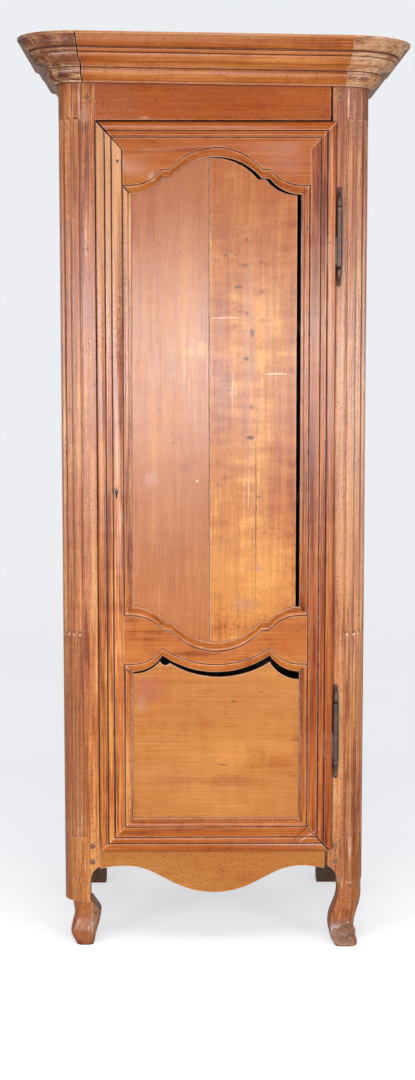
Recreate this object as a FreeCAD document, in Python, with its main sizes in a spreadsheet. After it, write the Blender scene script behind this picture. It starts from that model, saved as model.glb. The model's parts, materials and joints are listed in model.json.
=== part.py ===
import FreeCAD, Part
import math
import os
import re
import Sketcher

# Bonnetiere: a tall one-door linen cupboard in fruitwood, framed, pegged and panelled.
# Frame: +X to the right as seen from the front, front towards -Y, +Z up, origin on the floor under
# the middle of the bounding box. While it is built, y = 0 is the front face of the front posts.

doc = FreeCAD.newDocument("bonnetiere")
sizes = doc.addObject("Spreadsheet::Sheet", "Sizes")

# ---------------------------------------------------------------- driving dimensions, mm and degrees
dimensions = {
    # carcase posts
    "body_width": 694, "body_depth": 535, "post_top": 1985,
    "post_face": 83, "post_depth": 75, "post_round": 52,
    "back_post_width": 74, "back_post_depth": 48,
    # flutes on the rounded corner, filled with reeds in the lower part
    "flute_width": 16.4, "flute_depth": 5.4, "flute_pitch": 22.5, "flute_drop": 101, "flute_bottom": 258,
    "reed_top": 731, "reed_radius": 6.4, "reed_sink": 0.4,
    # brackets and legs under the front posts
    "leg_square": 60, "leg_join": 150, "bracket_top": 188, "bracket_radius": 40, "sleeve_bottom": 104,
    "foot_dowel_radius": 11, "foot_dowel_length": 40, "leg_back_round": 8, "leg_inner_round": 12,
    # right leg, from the knee down to the sole: height, inset from the outer side, inset from the front
    # face, width and radius of the outer front corner
    "knee_z": 150, "knee_inset": 0, "knee_front": 0, "knee_width": 60, "knee_round": 50,
    "calf_z": 120, "calf_inset": 2, "calf_front": 1, "calf_width": 58, "calf_round": 42,
    "shank_z": 92, "shank_inset": 6, "shank_front": 4, "shank_width": 60, "shank_round": 34,
    "shin_z": 66, "shin_inset": 14, "shin_front": 9, "shin_width": 61, "shin_round": 28,
    "ankle_z": 42, "ankle_inset": 19, "ankle_front": 8, "ankle_width": 60, "ankle_round": 25,
    "instep_z": 20, "instep_inset": 17, "instep_front": -4, "instep_width": 59, "instep_round": 24,
    "toe_z": 7, "toe_inset": 13, "toe_front": -15, "toe_width": 56, "toe_round": 22,
    "sole_z": 0, "sole_inset": 14, "sole_front": -16, "sole_width": 50, "sole_round": 20,
    "scroll_radius": 12.5, "scroll_length": 30, "scroll_inset": 36, "scroll_front": -5, "scroll_z": 30,
    "scroll_turn": 45,
    # left foot, a later replacement, from its neck down to its base
    "neck_z": 104, "neck_inset": 20, "neck_front": 8, "neck_width": 60, "neck_round": 26,
    "waist_z": 77, "waist_inset": 22, "waist_front": 9, "waist_width": 61, "waist_round": 24,
    "shaft_z": 54, "shaft_inset": 19, "shaft_front": 6, "shaft_width": 62, "shaft_round": 22,
    "ball_z": 32, "ball_inset": 14, "ball_front": 1, "ball_width": 60, "ball_round": 20,
    "pad_z": 13, "pad_inset": 20, "pad_front": 0, "pad_width": 50, "pad_round": 20,
    "base_z": 0, "base_inset": 27, "base_front": 2, "base_width": 39, "base_round": 16,
    # rails
    "rail_thickness": 26, "tenon_thickness": 10, "tenon_setback": 8, "tenon_length": 45, "tenon_root": 20,
    "tenon_shoulder": 11, "frieze_height": 100.5, "frieze_gap": 4.5, "apron_gap": 8, "shoulder_gap": 0.8,
    "apron_top": 255, "apron_low": 126, "apron_arch": 189, "apron_end": 182.5,
    "apron_turn_width": 48, "apron_belly_rise": 22.4,
    "apron_slope_width": 64, "apron_slope_rise": 47.3, "apron_arch_side": 60,
    "apron_arch_radius": 140, "apron_end_radius": 280, "apron_tenon_bottom": 189.2, "apron_tenon_top": 8,
    "peg_radius": 7, "peg_inset": 17, "peg_length": 34, "peg_proud": 0.6,
    "peg_drop": 50, "peg_upper_z": 236, "peg_lower_z": 199,
    # side frames
    "side_setback": 3, "side_thickness": 26, "side_top_rail": 100, "side_middle_top": 1090,
    "side_middle_rail": 75, "side_bottom_top": 300, "side_bottom_rail": 112, "side_tenon_length": 35,
    "groove_width": 10, "groove_depth": 9, "groove_slack": 1, "field_margin": 9, "field_bevel": 26,
    "field_rise": 5, "side_peg_radius": 4.5, "side_peg_inset": 15, "side_peg_root": 4,
    # back
    "back_rail_thickness": 24, "back_top_rail": 82, "back_middle_top": 1085, "back_middle_rail": 72,
    "back_bottom_rail": 85, "back_tenon_length": 24, "back_board_thickness": 12, "back_rebate": 10,
    "board_gap": 1.2,
    # floor, shelves and roof
    "floor_thickness": 18, "bearer_width": 20, "bearer_height": 24, "loose_fit": 0.5,
    "shelf_thickness": 20, "shelf_lower": 700, "shelf_middle": 1050, "shelf_upper": 1440,
    "cleat_width": 20, "cleat_height": 26, "cleat_housing": 8,
    "roof_thickness": 17, "roof_rebate": 8,
    # cornice
    "cornice_height": 97.5, "cornice_drop": 29, "cornice_projection": 91, "cornice_slack": 1,
    "cornice_heel": 20, "cornice_heel_height": 20, "cornice_top_width": 47, "cornice_tilt": 0.9,
    "cornice_joint_inset": 57.5, "cornice_joint_lean": 0.17, "cornice_side_joint": 62,
    "cornice_open_joint": 3,
    "fascia_out": 9, "fascia_rise": 3, "torus_out": 27, "torus_rise": 25, "torus_radius": 22,
    "cornice_quirk": 2.5, "scotia_rise": 31, "scotia_out": 38, "scotia_top": 41, "scotia_radius": 12,
    "ledge_width": 2.5, "echinus_out": 58, "echinus_top": 57.5, "echinus_radius": 16,
    "listel_rise": 1.5, "astragal_out": 64, "astragal_top": 66, "astragal_radius": 5.8,
    "cyma_start": 70, "cyma_middle_out": 76, "cyma_middle": 79.5, "cyma_top_out": 88, "cyma_top": 92,
    "cyma_lower_radius": 13, "cyma_upper_radius": 17,
    "nail_low_inset": 39.5, "nail_low_height": 12, "nail_low_depth": 22.8,
    "nail_high_inset": 27, "nail_high_height": 85, "nail_high_depth": 76.8,
    "packing_start": 100, "packing_length": 60, "cornice_back_rail": 20, "cornice_back_height": 52,
    "nail_radius": 2.6, "nail_length": 18,
    # door frame
    "door_gap": 2, "door_overlap": 8.5, "door_top_gap": 4, "door_bottom_lip": 30,
    "door_face": 8.5, "door_crown": 10, "door_back": 16, "lip_gap": 0.3, "lip_clearance": 2,
    "stile_width": 77, "door_band": 57, "top_band": 61,
    "band_width": 18, "band_fall": 0.7, "band_edge": 6.5, "bead_width": 12.4, "bead_radius": 12.5,
    "quirk_width": 2.7, "quirk_depth": 3, "moulding_fillet": 5.5, "moulding_fillet_rise": 1.6,
    "moulding_foot": 1, "moulding_waist": 1.6, "ovolo_drop": 0.4, "ovolo_radius": 13, "cavetto_radius": 7,
    "door_tenon": 8, "door_tenon_front": 3, "door_tenon_length": 40, "door_tenon_shoulder": 8,
    "door_tenon_top": 19, "door_tenon_low": 39, "door_tenon_low_width": 24,
    "door_peg_radius": 4, "door_peg_front": 3, "door_peg_inset": 15, "door_peg_proud": 0.5,
    "corner_wear_x": 9, "corner_wear_z": 14, "sweep_runout": 25, "cutter_reach": 14, "cutter_side": 3,
    # shaped rails: crown, step and side sweep, and the double-arched lower panel head
    "crown_rail": 75.3, "crown_drop": 47.5, "step_width": 17.5, "sweep_width": 70.25, "side_drop": 82.2,
    "dip_apex": 712.6, "waist_rail": 68.1, "cusp_side": 67.25, "cusp_rise": 39, "belly_side_rise": 1,
    "open_mitre": 6, "open_mitre_foot": 7, "open_shoulder_top": 3, "open_shoulder_middle": 2.6,
    # door panels
    "panel_front": 3, "panel_thickness": 9, "panel_groove": 10, "panel_slack": 0.1, "panel_tongue": 8,
    "panel_shrink": 9, "panel_slide": 2, "panel_lift": 3, "panel_joint": -10.5, "panel_joint_gap": 0.8,
    "lower_drop_left": 4.5, "lower_drop_right": 19, "panel_groove_reach": 17,
    # piece broken out of the lower panel under the left cusp of its head
    "chip_radius": 13, "chip_shift": 7, "chip_drop": 10.5,
    # hinges
    "hinge_reach": 16, "hinge_y": 6.5, "barrel_radius": 5.8, "pin_radius": 3, "pin_fit": 0.05,
    "knuckle_length": 62, "knuckle_gap": 0.3, "hinge_upper_drop": 252.1, "hinge_lower_rise": 281.5,
    "wing_thickness": 2.4, "wing_length": 34, "wing_margin": 1, "rivet_radius": 2, "rivet_length": 10,
    "hinge_nail_reach": 21, "hinge_nail_radius": 1.8, "hinge_nail_length": 16, "hinge_nail_proud": 0.4,
    "hinge_nail_first": 13, "hinge_nail_second": 57.5,
    "finial_height": 47, "finial_flange": 6.4, "finial_flange_height": 2.5, "finial_neck": 3.2,
    "finial_neck_z": 5, "finial_bulb": 5.4, "finial_bulb_z": 13, "finial_waist": 2.6, "finial_waist_z": 30,
    "finial_ring": 4, "finial_ring_z": 33, "finial_throat": 2.4, "finial_throat_z": 36,
    "finial_ball": 3.6, "finial_ball_z": 41, "finial_tip": 1.2, "finial_curve": 12,
    "finial_bulb_curve": 48,
    # lock
    "lock_z": 1059, "lock_backset": 42, "lock_width": 72, "lock_height": 100, "lock_depth": 16,
    "lock_wall": 2, "bolt_width": 22, "bolt_thickness": 8, "bolt_length": 52, "bolt_travel": 12,
    "bolt_fit": 0.3, "bolt_rise": 34, "bolt_inset": 4, "lock_below": 42, "lock_flange": 10,
    "lock_flange_thickness": 1.5, "lock_inset": 1, "spring_inset": 14, "spring_length": 44,
    "strike_fit": 1, "key_hole_radius": 4.5, "key_slot_width": 4, "key_slot_length": 14,
    "key_pin_radius": 2.2, "key_pin_front": 3, "spring_thickness": 1, "strike_thickness": 1.5,
    "strike_front": 14, "strike_width": 20, "strike_height": 40, "strike_clearance": 2,
    # how far a cutting shape runs on past the wood
    "overcut": 1,
}
# sizes that keep pieces together, worked out in the sheet from the ones above
followers = {
    "frieze_bottom": "post_top-frieze_height",
    "flute_top": "post_top-flute_drop",
    "peg_top_z": "post_top-peg_drop",
    "apron_arch_x": "body_width/2-post_face-apron_arch_side",
    "apron_slope_x": "apron_arch_x-apron_slope_width",
    "apron_belly_half": "apron_slope_x-apron_turn_width",
    "apron_belly_radius": "(apron_belly_half^2+apron_belly_rise^2)/(2*apron_belly_rise)",
    "cornice_joint": "body_width/2-cornice_joint_inset",
    "sight_half": "(body_width-2*post_face+door_overlap-door_gap-2*stile_width)/2",
    "step_outer": "sight_half-sweep_width",
    "crown_half": "step_outer-step_width",
    "crown_radius": "(crown_half^2+crown_drop^2)/(2*crown_drop)",
    "crown_apex": "frieze_bottom-door_top_gap-crown_rail",
    "belly_apex": "dip_apex-waist_rail",
    "cusp_half": "sight_half-cusp_side",
    "hinge_x": "body_width/2-post_face+hinge_reach",
    "hinge_nail_x": "hinge_x-hinge_nail_reach",
    "hinge_upper_z": "frieze_bottom-door_top_gap-hinge_upper_drop",
    "hinge_lower_z": "apron_top-door_bottom_lip+hinge_lower_rise",
}
cells = [(alias, str(value)) for alias, value in dimensions.items()]
cells += [(alias, "=" + formula) for alias, formula in followers.items()]
for row, (alias, content) in enumerate(cells, start=1):
    sizes.set("A%d" % row, alias)
    sizes.set("B%d" % row, content)
    sizes.setAlias("B%d" % row, alias)
doc.recompute()

# ---------------------------------------------------------------- sizes that follow from the sheet
half = "body_width/2"
post_inner = "(body_width/2-post_face)"
leg_inner = "(body_width/2-leg_square)"
back_inner = "(body_width/2-back_post_width)"
back_front = "(body_depth-back_post_depth)"
side_outer = "(body_width/2-side_setback)"
side_inner = "(body_width/2-side_setback-side_thickness)"
groove_inner = "(body_width/2-side_setback-(side_thickness+groove_width)/2)"
groove_outer = "(body_width/2-side_setback-(side_thickness-groove_width)/2)"
door_left = "(door_gap-body_width/2+post_face)"
door_right = "(body_width/2-post_face+door_overlap)"
door_top = "(frieze_bottom-door_top_gap)"
door_bottom = "(apron_top-door_bottom_lip)"
sight_left = "(door_gap-body_width/2+post_face+stile_width)"
sight_right = "(body_width/2-post_face+door_overlap-stile_width)"
sight_middle = "((door_gap+door_overlap)/2)"
crown_side = "(crown_apex-side_drop)"
dip_side = "(dip_apex+side_drop)"
belly_side = "(belly_apex+belly_side_rise)"
sight_bottom = "(apron_top-door_bottom_lip+stile_width)"
sweep_radius = "((sweep_width^2+(side_drop-crown_drop)^2)/(2*(side_drop-crown_drop)))"
belly_radius = "((cusp_half^2+cusp_rise^2)/(2*cusp_rise))"
cusp_radius = "(((sight_half-cusp_half)^2+(cusp_rise-belly_side_rise)^2)/(2*(cusp_rise-belly_side_rise)))"
flute_radius = "((flute_width^2/4+flute_depth^2)/(2*flute_depth))"
# middle of the bounding box, which the tilted cornice sets across and the cornice and back set in depth
middle_x = ("(body_width/2*(1-cos(cornice_tilt))"
            "+((cornice_height+cyma_top)/2-cornice_drop)*sin(cornice_tilt))")
middle_y = "((body_depth-cornice_projection)/2)"

names = re.compile(r"\b(" + "|".join(alias for alias, content in cells) + r")\b")


def bound(expression):
    # the same expression with every name pointing at its cell
    return names.sub(r"Sizes.\1", expression)


def number(expression):
    return float(sizes.evalExpression(bound(expression)))


# ---------------------------------------------------------------- building blocks
def block(name, x, y, z):
    # box between pairs of expressions
    box = doc.addObject("Part::Box", name)
    for length, axis, (start, end) in zip(("Length", "Width", "Height"), "xyz", (x, y, z)):
        box.setExpression(length, bound("(%s)-(%s)" % (end, start)))
        box.setExpression("Placement.Base." + axis, bound(start))
    return box


def rod(name, radius, axis, start, end, across):
    # cylinder along an axis; across holds its place on the two other axes, in the order x, y, z
    turns = {"x": FreeCAD.Rotation(FreeCAD.Vector(0, 1, 0), 90),
             "y": FreeCAD.Rotation(FreeCAD.Vector(1, 0, 0), -90),
             "z": FreeCAD.Rotation()}
    cylinder = doc.addObject("Part::Cylinder", name)
    cylinder.Placement = FreeCAD.Placement(FreeCAD.Vector(), turns[axis])
    cylinder.setExpression("Radius", bound(radius))
    cylinder.setExpression("Height", bound("(%s)-(%s)" % (end, start)))
    place = dict(zip([other for other in "xyz" if other != axis], across))
    place[axis] = start
    for other in "xyz":
        cylinder.setExpression("Placement.Base." + other, bound(place[other]))
    return cylinder


def ball(name, radius, place):
    sphere = doc.addObject("Part::Sphere", name)
    sphere.setExpression("Radius", bound(radius))
    for axis, value in zip("xyz", place):
        sphere.setExpression("Placement.Base." + axis, bound(value))
    return sphere


def trace(sketch, corners, closed=True):
    # draws a path through corners (x, y) or (x, y, radius); a radius makes the edge that leaves the
    # corner an arc, with its centre to the left of the way of travel, or to the right if negative
    points = [FreeCAD.Vector(number(corner[0]), number(corner[1]), 0) for corner in corners]
    last = len(points) if closed else len(points) - 1
    ends = []
    for index in range(last):
        start = points[index]
        end = points[(index + 1) % len(points)]
        if len(corners[index]) == 2:
            sketch.addGeometry(Part.LineSegment(start, end), False)
            ends.append((1, 2))
            continue
        radius = number(corners[index][2])
        chord = end - start
        rise = math.sqrt(max(radius ** 2 - chord.Length ** 2 / 4, 0))
        left = FreeCAD.Vector(-chord.y, chord.x, 0).normalize()
        centre = (start + end) * 0.5 + left * math.copysign(rise, radius)
        first, second = (start, end) if radius > 0 else (end, start)
        circle = Part.Circle(centre, FreeCAD.Vector(0, 0, 1), abs(radius))
        sweep = Part.ArcOfCircle(circle, math.atan2(first.y - centre.y, first.x - centre.x),
                                 math.atan2(second.y - centre.y, second.x - centre.x))
        sketch.addGeometry(sweep, False)
        ends.append((1, 2) if radius > 0 else (2, 1))
        fix = sketch.addConstraint(Sketcher.Constraint("Radius", index, abs(radius)))
        sketch.setExpression("Constraints[%d]" % fix, bound("abs(%s)" % corners[index][2]))
    for index in range(last):
        following = (index + 1) % len(points)
        if following < last:
            sketch.addConstraint(Sketcher.Constraint("Coincident", index, ends[index][1],
                                                     following, ends[following][0]))
    for index, point in enumerate(points):
        edge, end = (index, ends[index][0]) if index < last else (index - 1, ends[index - 1][1])
        for kind, value, text in (("DistanceX", point.x, corners[index][0]),
                                  ("DistanceY", point.y, corners[index][1])):
            fix = sketch.addConstraint(Sketcher.Constraint(kind, -1, 1, edge, end, value))
            sketch.setExpression("Constraints[%d]" % fix, bound(text))


def backwards(path):
    # the same open path travelled from its end to its start
    turned = [path[-1][:2]]
    for corner in reversed(path[:-1]):
        if len(corner) == 3:
            turned[-1] = turned[-1] + ("-(%s)" % corner[2],)
        turned.append(corner[:2])
    return turned


def sketch_in(body, name, plane, offset="0"):
    sketch = body.newObject("Sketcher::SketchObject", name)
    origin = [item for item in body.Origin.OriginFeatures if item.Role == plane + "_Plane"]
    sketch.AttachmentSupport = [(origin[0], "")]
    sketch.MapMode = "FlatFace"
    sketch.setExpression("AttachmentOffset.Base.z", bound(offset))
    return sketch


def prism(name, plane, corners, start, end):
    # body padded from an outline: XY from z start to end, XZ from y start to end, YZ from x start to end
    body = doc.addObject("PartDesign::Body", name)
    offset = "-(%s)" % end if plane == "XZ" else start
    sketch = sketch_in(body, name + "_outline", plane, offset)
    trace(sketch, corners)
    pad = body.newObject("PartDesign::Pad", name + "_pad")
    pad.Profile = sketch
    pad.setExpression("Length", bound("(%s)-(%s)" % (end, start)))
    body.Tip = pad
    return body


def turned(name, corners, place, angle=360):
    # body turned round its own upright axis, which stands at place
    body = doc.addObject("PartDesign::Body", name)
    sketch = sketch_in(body, name + "_section", "XZ")
    trace(sketch, corners)
    revolution = body.newObject("PartDesign::Revolution", name + "_turn")
    revolution.Profile = sketch
    axis = [item for item in body.Origin.OriginFeatures if item.Role == "Z_Axis"]
    revolution.ReferenceAxis = (axis[0], [""])
    revolution.Angle = angle
    revolution.Reversed = angle < 360
    body.Tip = revolution
    for other, value in zip("xyz", place):
        body.setExpression("Placement.Base." + other, bound(value))
    return body


def fuse(name, shapes):
    joined = doc.addObject("Part::MultiFuse", name)
    joined.Shapes = shapes
    joined.Refine = True
    return joined


def cut(name, base, tools):
    if not tools:
        return base
    tool = tools[0] if len(tools) == 1 else fuse(name + "_tools", tools)
    result = doc.addObject("Part::Cut", name)
    result.Base = base
    result.Tool = tool
    return result


def common(name, shapes):
    result = doc.addObject("Part::MultiCommon", name)
    result.Shapes = shapes
    return result


def group(name, shapes):
    result = doc.addObject("Part::Compound", name)
    result.Links = shapes
    return result


def mirrored(name, source):
    # the same shape on the other side of the middle plane x = 0
    result = doc.addObject("Part::Mirroring", name)
    result.Source = source
    result.Normal = FreeCAD.Vector(1, 0, 0)
    return result


def side_span(side, start, end):
    # a span across x, on the right as given or turned over to the left
    if side == "right":
        return start, end
    return "-(%s)" % end, "-(%s)" % start


parts = []


def keep(label, shapes, tilted=False):
    # a finished piece, moved so that the origin lies under the middle of the whole
    piece = group(label, shapes)
    piece.Label = label
    if tilted:
        # the loose cornice rests on the right post and stands off the left one
        piece.Placement = FreeCAD.Placement(FreeCAD.Vector(), FreeCAD.Rotation(FreeCAD.Vector(0, 1, 0), 1))
        piece.setExpression("Placement.Rotation.Angle", bound("cornice_tilt"))
        piece.setExpression("Placement.Base.x", bound(
            "body_width/2-body_width/2*cos(cornice_tilt)-post_top*sin(cornice_tilt)-" + middle_x))
        piece.setExpression("Placement.Base.z", bound(
            "post_top+body_width/2*sin(cornice_tilt)-post_top*cos(cornice_tilt)"))
    else:
        piece.setExpression("Placement.Base.x", bound("-" + middle_x))
    piece.setExpression("Placement.Base.y", bound("-" + middle_y))
    parts.append(piece)


# ---------------------------------------------------------------- front posts, legs and feet
side_rails = {
    "top": ("post_top-side_top_rail", "post_top"),
    "middle": ("side_middle_top-side_middle_rail", "side_middle_top"),
    "bottom": ("side_bottom_top-side_bottom_rail", "side_bottom_top"),
}
shelf_levels = ("lower", "middle", "upper")
apron_tenon = ("apron_tenon_bottom", "apron_top-apron_tenon_top")
frieze_tenon = ("frieze_bottom+tenon_shoulder", "post_top-tenon_shoulder")
tenon_y = ("tenon_setback", "tenon_setback+tenon_thickness")
front_pegs = ("peg_top_z", "peg_upper_z", "peg_lower_z")
bolt_y = ("door_back+bolt_inset", "door_back+bolt_inset+bolt_thickness")
bolt_z = ("lock_z+bolt_rise-bolt_width/2", "lock_z+bolt_rise+bolt_width/2")
leg_names = ("sole", "toe", "instep", "ankle", "shin", "shank", "calf", "knee")
foot_names = ("base", "pad", "ball", "shaft", "waist", "neck")


def rail_tenon(level):
    bottom, top = side_rails[level]
    return bottom + "+tenon_shoulder", top + "-tenon_shoulder"


def cleat_z(level):
    top = "shelf_%s-shelf_thickness" % level
    return top + "-cleat_height", top


def rail_middle(level):
    return "(%s+%s)/2" % side_rails[level]


def post_mortises(name, y_tenon, y_groove, y_housing, y_peg):
    # mortises, panel groove, shelf housings and peg holes that a corner post has on its side-frame face
    shapes = [block(name + "_groove", (groove_inner, groove_outer), y_groove,
                    ("side_bottom_top-tenon_shoulder", "post_top-side_top_rail+tenon_shoulder"))]
    for level in side_rails:
        shapes.append(block("%s_mortise_%s" % (name, level), (groove_inner, groove_outer), y_tenon,
                            rail_tenon(level)))
        shapes.append(rod("%s_peg_%s" % (name, level), "side_peg_radius", "x",
                          groove_inner + "-side_peg_root", half + "+overcut", (y_peg, rail_middle(level))))
    for level in shelf_levels:
        shapes.append(block("%s_housing_%s" % (name, level), (side_inner + "-cleat_width", side_inner),
                            y_housing, cleat_z(level)))
    return shapes


def make_front_post(side):
    # worked out on the right and turned over for the left
    name = "post_%s" % side
    foot = "leg_join" if side == "right" else "sleeve_bottom"
    plan = [(post_inner, "0"), ("body_width/2-post_round", "0", "post_round"), (half, "post_round"),
            (half, "post_depth"), (post_inner, "post_depth")]
    blank = prism(name + "_blank", "XY", plan, foot, "post_top")
    cuts = []
    reeds = []
    for index in range(4):
        angle = "flute_pitch*%s" % (index + 0.5)
        flute_reach = "(post_round-flute_depth+%s)" % flute_radius
        reed_reach = "(post_round-reed_radius-reed_sink)"
        places = {}
        for kind, reach in (("flute", flute_reach), ("reed", reed_reach)):
            places[kind] = ("body_width/2-post_round+%s*sin(%s)" % (reach, angle),
                            "post_round-%s*cos(%s)" % (reach, angle))
        cuts.append(rod("%s_flute_%d" % (name, index), flute_radius, "z", "flute_bottom", "flute_top",
                        places["flute"]))
        cuts.append(ball("%s_flute_end_%d" % (name, index), flute_radius, places["flute"] + ("flute_top",)))
        reeds.append(rod("%s_reed_%d" % (name, index), "reed_radius", "z", "flute_bottom-overcut", "reed_top",
                         places["reed"]))
        reeds.append(ball("%s_reed_end_%d" % (name, index), "reed_radius", places["reed"] + ("reed_top",)))
    fluted = fuse(name + "_reeded", [cut(name + "_fluted", blank, cuts)] + reeds)
    low = foot + "-overcut"
    tools = [
        prism(name + "_bracket_front", "XZ",
              [(post_inner + "-overcut", low), (leg_inner, low), (leg_inner, "leg_join", "bracket_radius"),
               (post_inner, "bracket_top"), (post_inner + "-overcut", "bracket_top")],
              "-overcut", "post_depth+overcut"),
        prism(name + "_bracket_side", "YZ",
              [("post_depth+overcut", low), ("leg_square", low),
               ("leg_square", "leg_join", "-bracket_radius"), ("post_depth", "bracket_top"),
               ("post_depth+overcut", "bracket_top")],
              post_inner + "-overcut", half + "+overcut"),
        block(name + "_frieze_mortise", (post_inner, post_inner + "+tenon_length"), tenon_y, frieze_tenon),
        block(name + "_apron_mortise", (post_inner, post_inner + "+tenon_length"), tenon_y, apron_tenon),
    ]
    tools += post_mortises(name, ("post_depth-side_tenon_length", "post_depth"),
                           ("post_depth-groove_depth", "post_depth"),
                           ("post_depth-cleat_housing", "post_depth"), "post_depth-side_peg_inset")
    for index, height in enumerate(front_pegs):
        tools.append(rod("%s_peg_hole_%d" % (name, index), "peg_radius", "y", "-overcut", "peg_length",
                         (post_inner + "+peg_inset", height)))
    if side == "right":
        for level in ("upper", "lower"):
            tools.append(block("%s_wing_slot_%s" % (name, level),
                               ("hinge_x-wing_thickness/2", "hinge_x+wing_thickness/2"),
                               ("-overcut", "wing_length"), post_wing_z(level)))
        leg = make_station_loft("leg_right", leg_names)
        scroll = rod("leg_scroll", "scroll_radius", "z", "0", "scroll_length", ("0", "0"))
        scroll.Placement.Rotation = FreeCAD.Rotation(FreeCAD.Vector(1, -1, 0), -90)
        for axis, text in (("x", half + "-scroll_inset-scroll_length/2*cos(scroll_turn)"),
                           ("y", "-scroll_front-scroll_length/2*sin(scroll_turn)"), ("z", "scroll_z")):
            scroll.setExpression("Placement.Base." + axis, bound(text))
        return fuse(name + "_whole", [cut(name + "_worked", fluted, tools), leg, scroll])
    tools.append(rod(name + "_dowel_hole", "foot_dowel_radius", "z", low, "sleeve_bottom+foot_dowel_length",
                     foot_middle()))
    tools.append(block(name + "_strike_recess", (post_inner, post_inner + "+strike_thickness"),
                       ("strike_front", "strike_front+strike_width"), strike_z()))
    tools.append(block(name + "_bolt_hole", (post_inner, post_inner + "+bolt_travel+strike_clearance"),
                       (bolt_y[0] + "-strike_fit", bolt_y[1] + "+strike_fit"),
                       (bolt_z[0] + "-strike_fit", bolt_z[1] + "+strike_fit")))
    return mirrored(name + "_turned", cut(name + "_worked", fluted, tools))


def strike_z():
    return "lock_z+bolt_rise-strike_height/2", "lock_z+bolt_rise+strike_height/2"


def foot_middle():
    return "body_width/2-neck_inset-neck_width/2", "neck_front+neck_width/2"


def post_wing_z(level):
    split = "hinge_%s_z" % level
    return split + "+wing_margin", split + "+knuckle_length-wing_margin"


def door_wing_z(level):
    split = "hinge_%s_z" % level
    return split + "-knuckle_length+wing_margin", split + "-wing_margin"


def make_station_loft(name, stations):
    # a carved leg drawn through square sections with round corners
    body = doc.addObject("PartDesign::Body", name)
    sections = []
    for station in stations:
        outer = "(body_width/2-%s_inset)" % station
        inner = "(body_width/2-%s_inset-%s_width)" % (station, station)
        front = "%s_front" % station
        back = "(%s_front+%s_width)" % (station, station)
        corner = "%s_round" % station
        sketch = sketch_in(body, "%s_%s" % (name, station), "XY", station + "_z")
        trace(sketch, [
            (inner + "+leg_inner_round", front), (outer + "-" + corner, front, corner),
            (outer, front + "+" + corner), (outer, back + "-leg_back_round", "leg_back_round"),
            (outer + "-leg_back_round", back), (inner + "+leg_back_round", back, "leg_back_round"),
            (inner, back + "-leg_back_round"), (inner, front + "+leg_inner_round", "leg_inner_round")])
        sections.append(sketch)
    loft = body.newObject("PartDesign::AdditiveLoft", name + "_loft")
    loft.Profile = sections[0]
    loft.Sections = sections[1:]
    body.Tip = loft
    return body


def make_posts():
    keep("post_front_right", [make_front_post("right")])
    keep("post_front_left", [make_front_post("left")])
    foot = make_station_loft("foot_left", foot_names)
    dowel = rod("foot_dowel", "foot_dowel_radius", "z", "sleeve_bottom-overcut",
                "sleeve_bottom+foot_dowel_length", foot_middle())
    keep("foot_front_left", [mirrored("foot_turned", fuse("foot_whole", [foot, dowel]))])
    blank = block("back_post_blank", (back_inner, half), (back_front, "body_depth"), ("0", "post_top"))
    tools = post_mortises("back_post", (back_front, back_front + "+side_tenon_length"),
                          (back_front, back_front + "+groove_depth"),
                          (back_front, back_front + "+cleat_housing"), back_front + "+side_peg_inset")
    for level, (bottom, top) in back_rails.items():
        tools.append(block("back_mortise_" + level, (back_inner, back_inner + "+back_tenon_length"),
                           back_tenon_y, (bottom + "+tenon_shoulder", top + "-tenon_shoulder")))
    tools.append(block("back_rebate_cut", (back_inner, back_inner + "+back_rebate"),
                       (back_front + "+back_rail_thickness", "body_depth"),
                       (back_rails["bottom"][0], "post_top")))
    post = cut("back_post_worked", blank, tools)
    keep("post_back_right", [post])
    keep("post_back_left", [mirrored("back_post_turned", post)])


# ---------------------------------------------------------------- front rails and pegs
def front_tenons(name, z):
    # a tenon at each end, rooted in the rail behind its shoulder
    ends = [side_span(side, post_inner + "-tenon_root", post_inner + "+tenon_length")
            for side in ("left", "right")]
    return [block("%s_tenon_%d" % (name, index), end, tenon_y, z) for index, end in enumerate(ends)]


def make_front_rails():
    holes = []
    for side in ("left", "right"):
        across = side_span(side, post_inner + "+peg_inset", post_inner + "+peg_inset")[0]
        for index, height in enumerate(front_pegs):
            holes.append(rod("rail_peg_hole_%s_%d" % (side, index), "peg_radius", "y", "-overcut",
                             "peg_length", (across, height)))
    plank = block("frieze_plank", ("shoulder_gap-" + post_inner, post_inner + "-frieze_gap"),
                  ("0", "rail_thickness"), ("frieze_bottom", "post_top"))
    whole = fuse("frieze_whole", [plank] + front_tenons("frieze", frieze_tenon))
    keep("rail_front_top", [cut("frieze", whole, [holes[0], holes[3]])])
    start = "(shoulder_gap-%s)" % post_inner
    end = "(%s-apron_gap)" % post_inner
    lower = [(start, "apron_end", "-apron_end_radius"),
             ("-apron_arch_x", "apron_arch", "-apron_arch_radius"),
             ("-apron_slope_x", "apron_low+apron_slope_rise"),
             ("-apron_belly_half", "apron_low+apron_belly_rise", "apron_belly_radius"),
             ("apron_belly_half", "apron_low+apron_belly_rise"),
             ("apron_slope_x", "apron_low+apron_slope_rise", "-apron_arch_radius"),
             ("apron_arch_x", "apron_arch", "-apron_end_radius"),
             (end, "apron_end"), (end, "apron_top"), (start, "apron_top")]
    board = prism("apron_board", "XZ", lower, "0", "rail_thickness")
    whole = fuse("apron_whole", [board] + front_tenons("apron", apron_tenon))
    keep("rail_front_bottom", [cut("apron", whole, [holes[index] for index in (1, 2, 4, 5)])])


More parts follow.
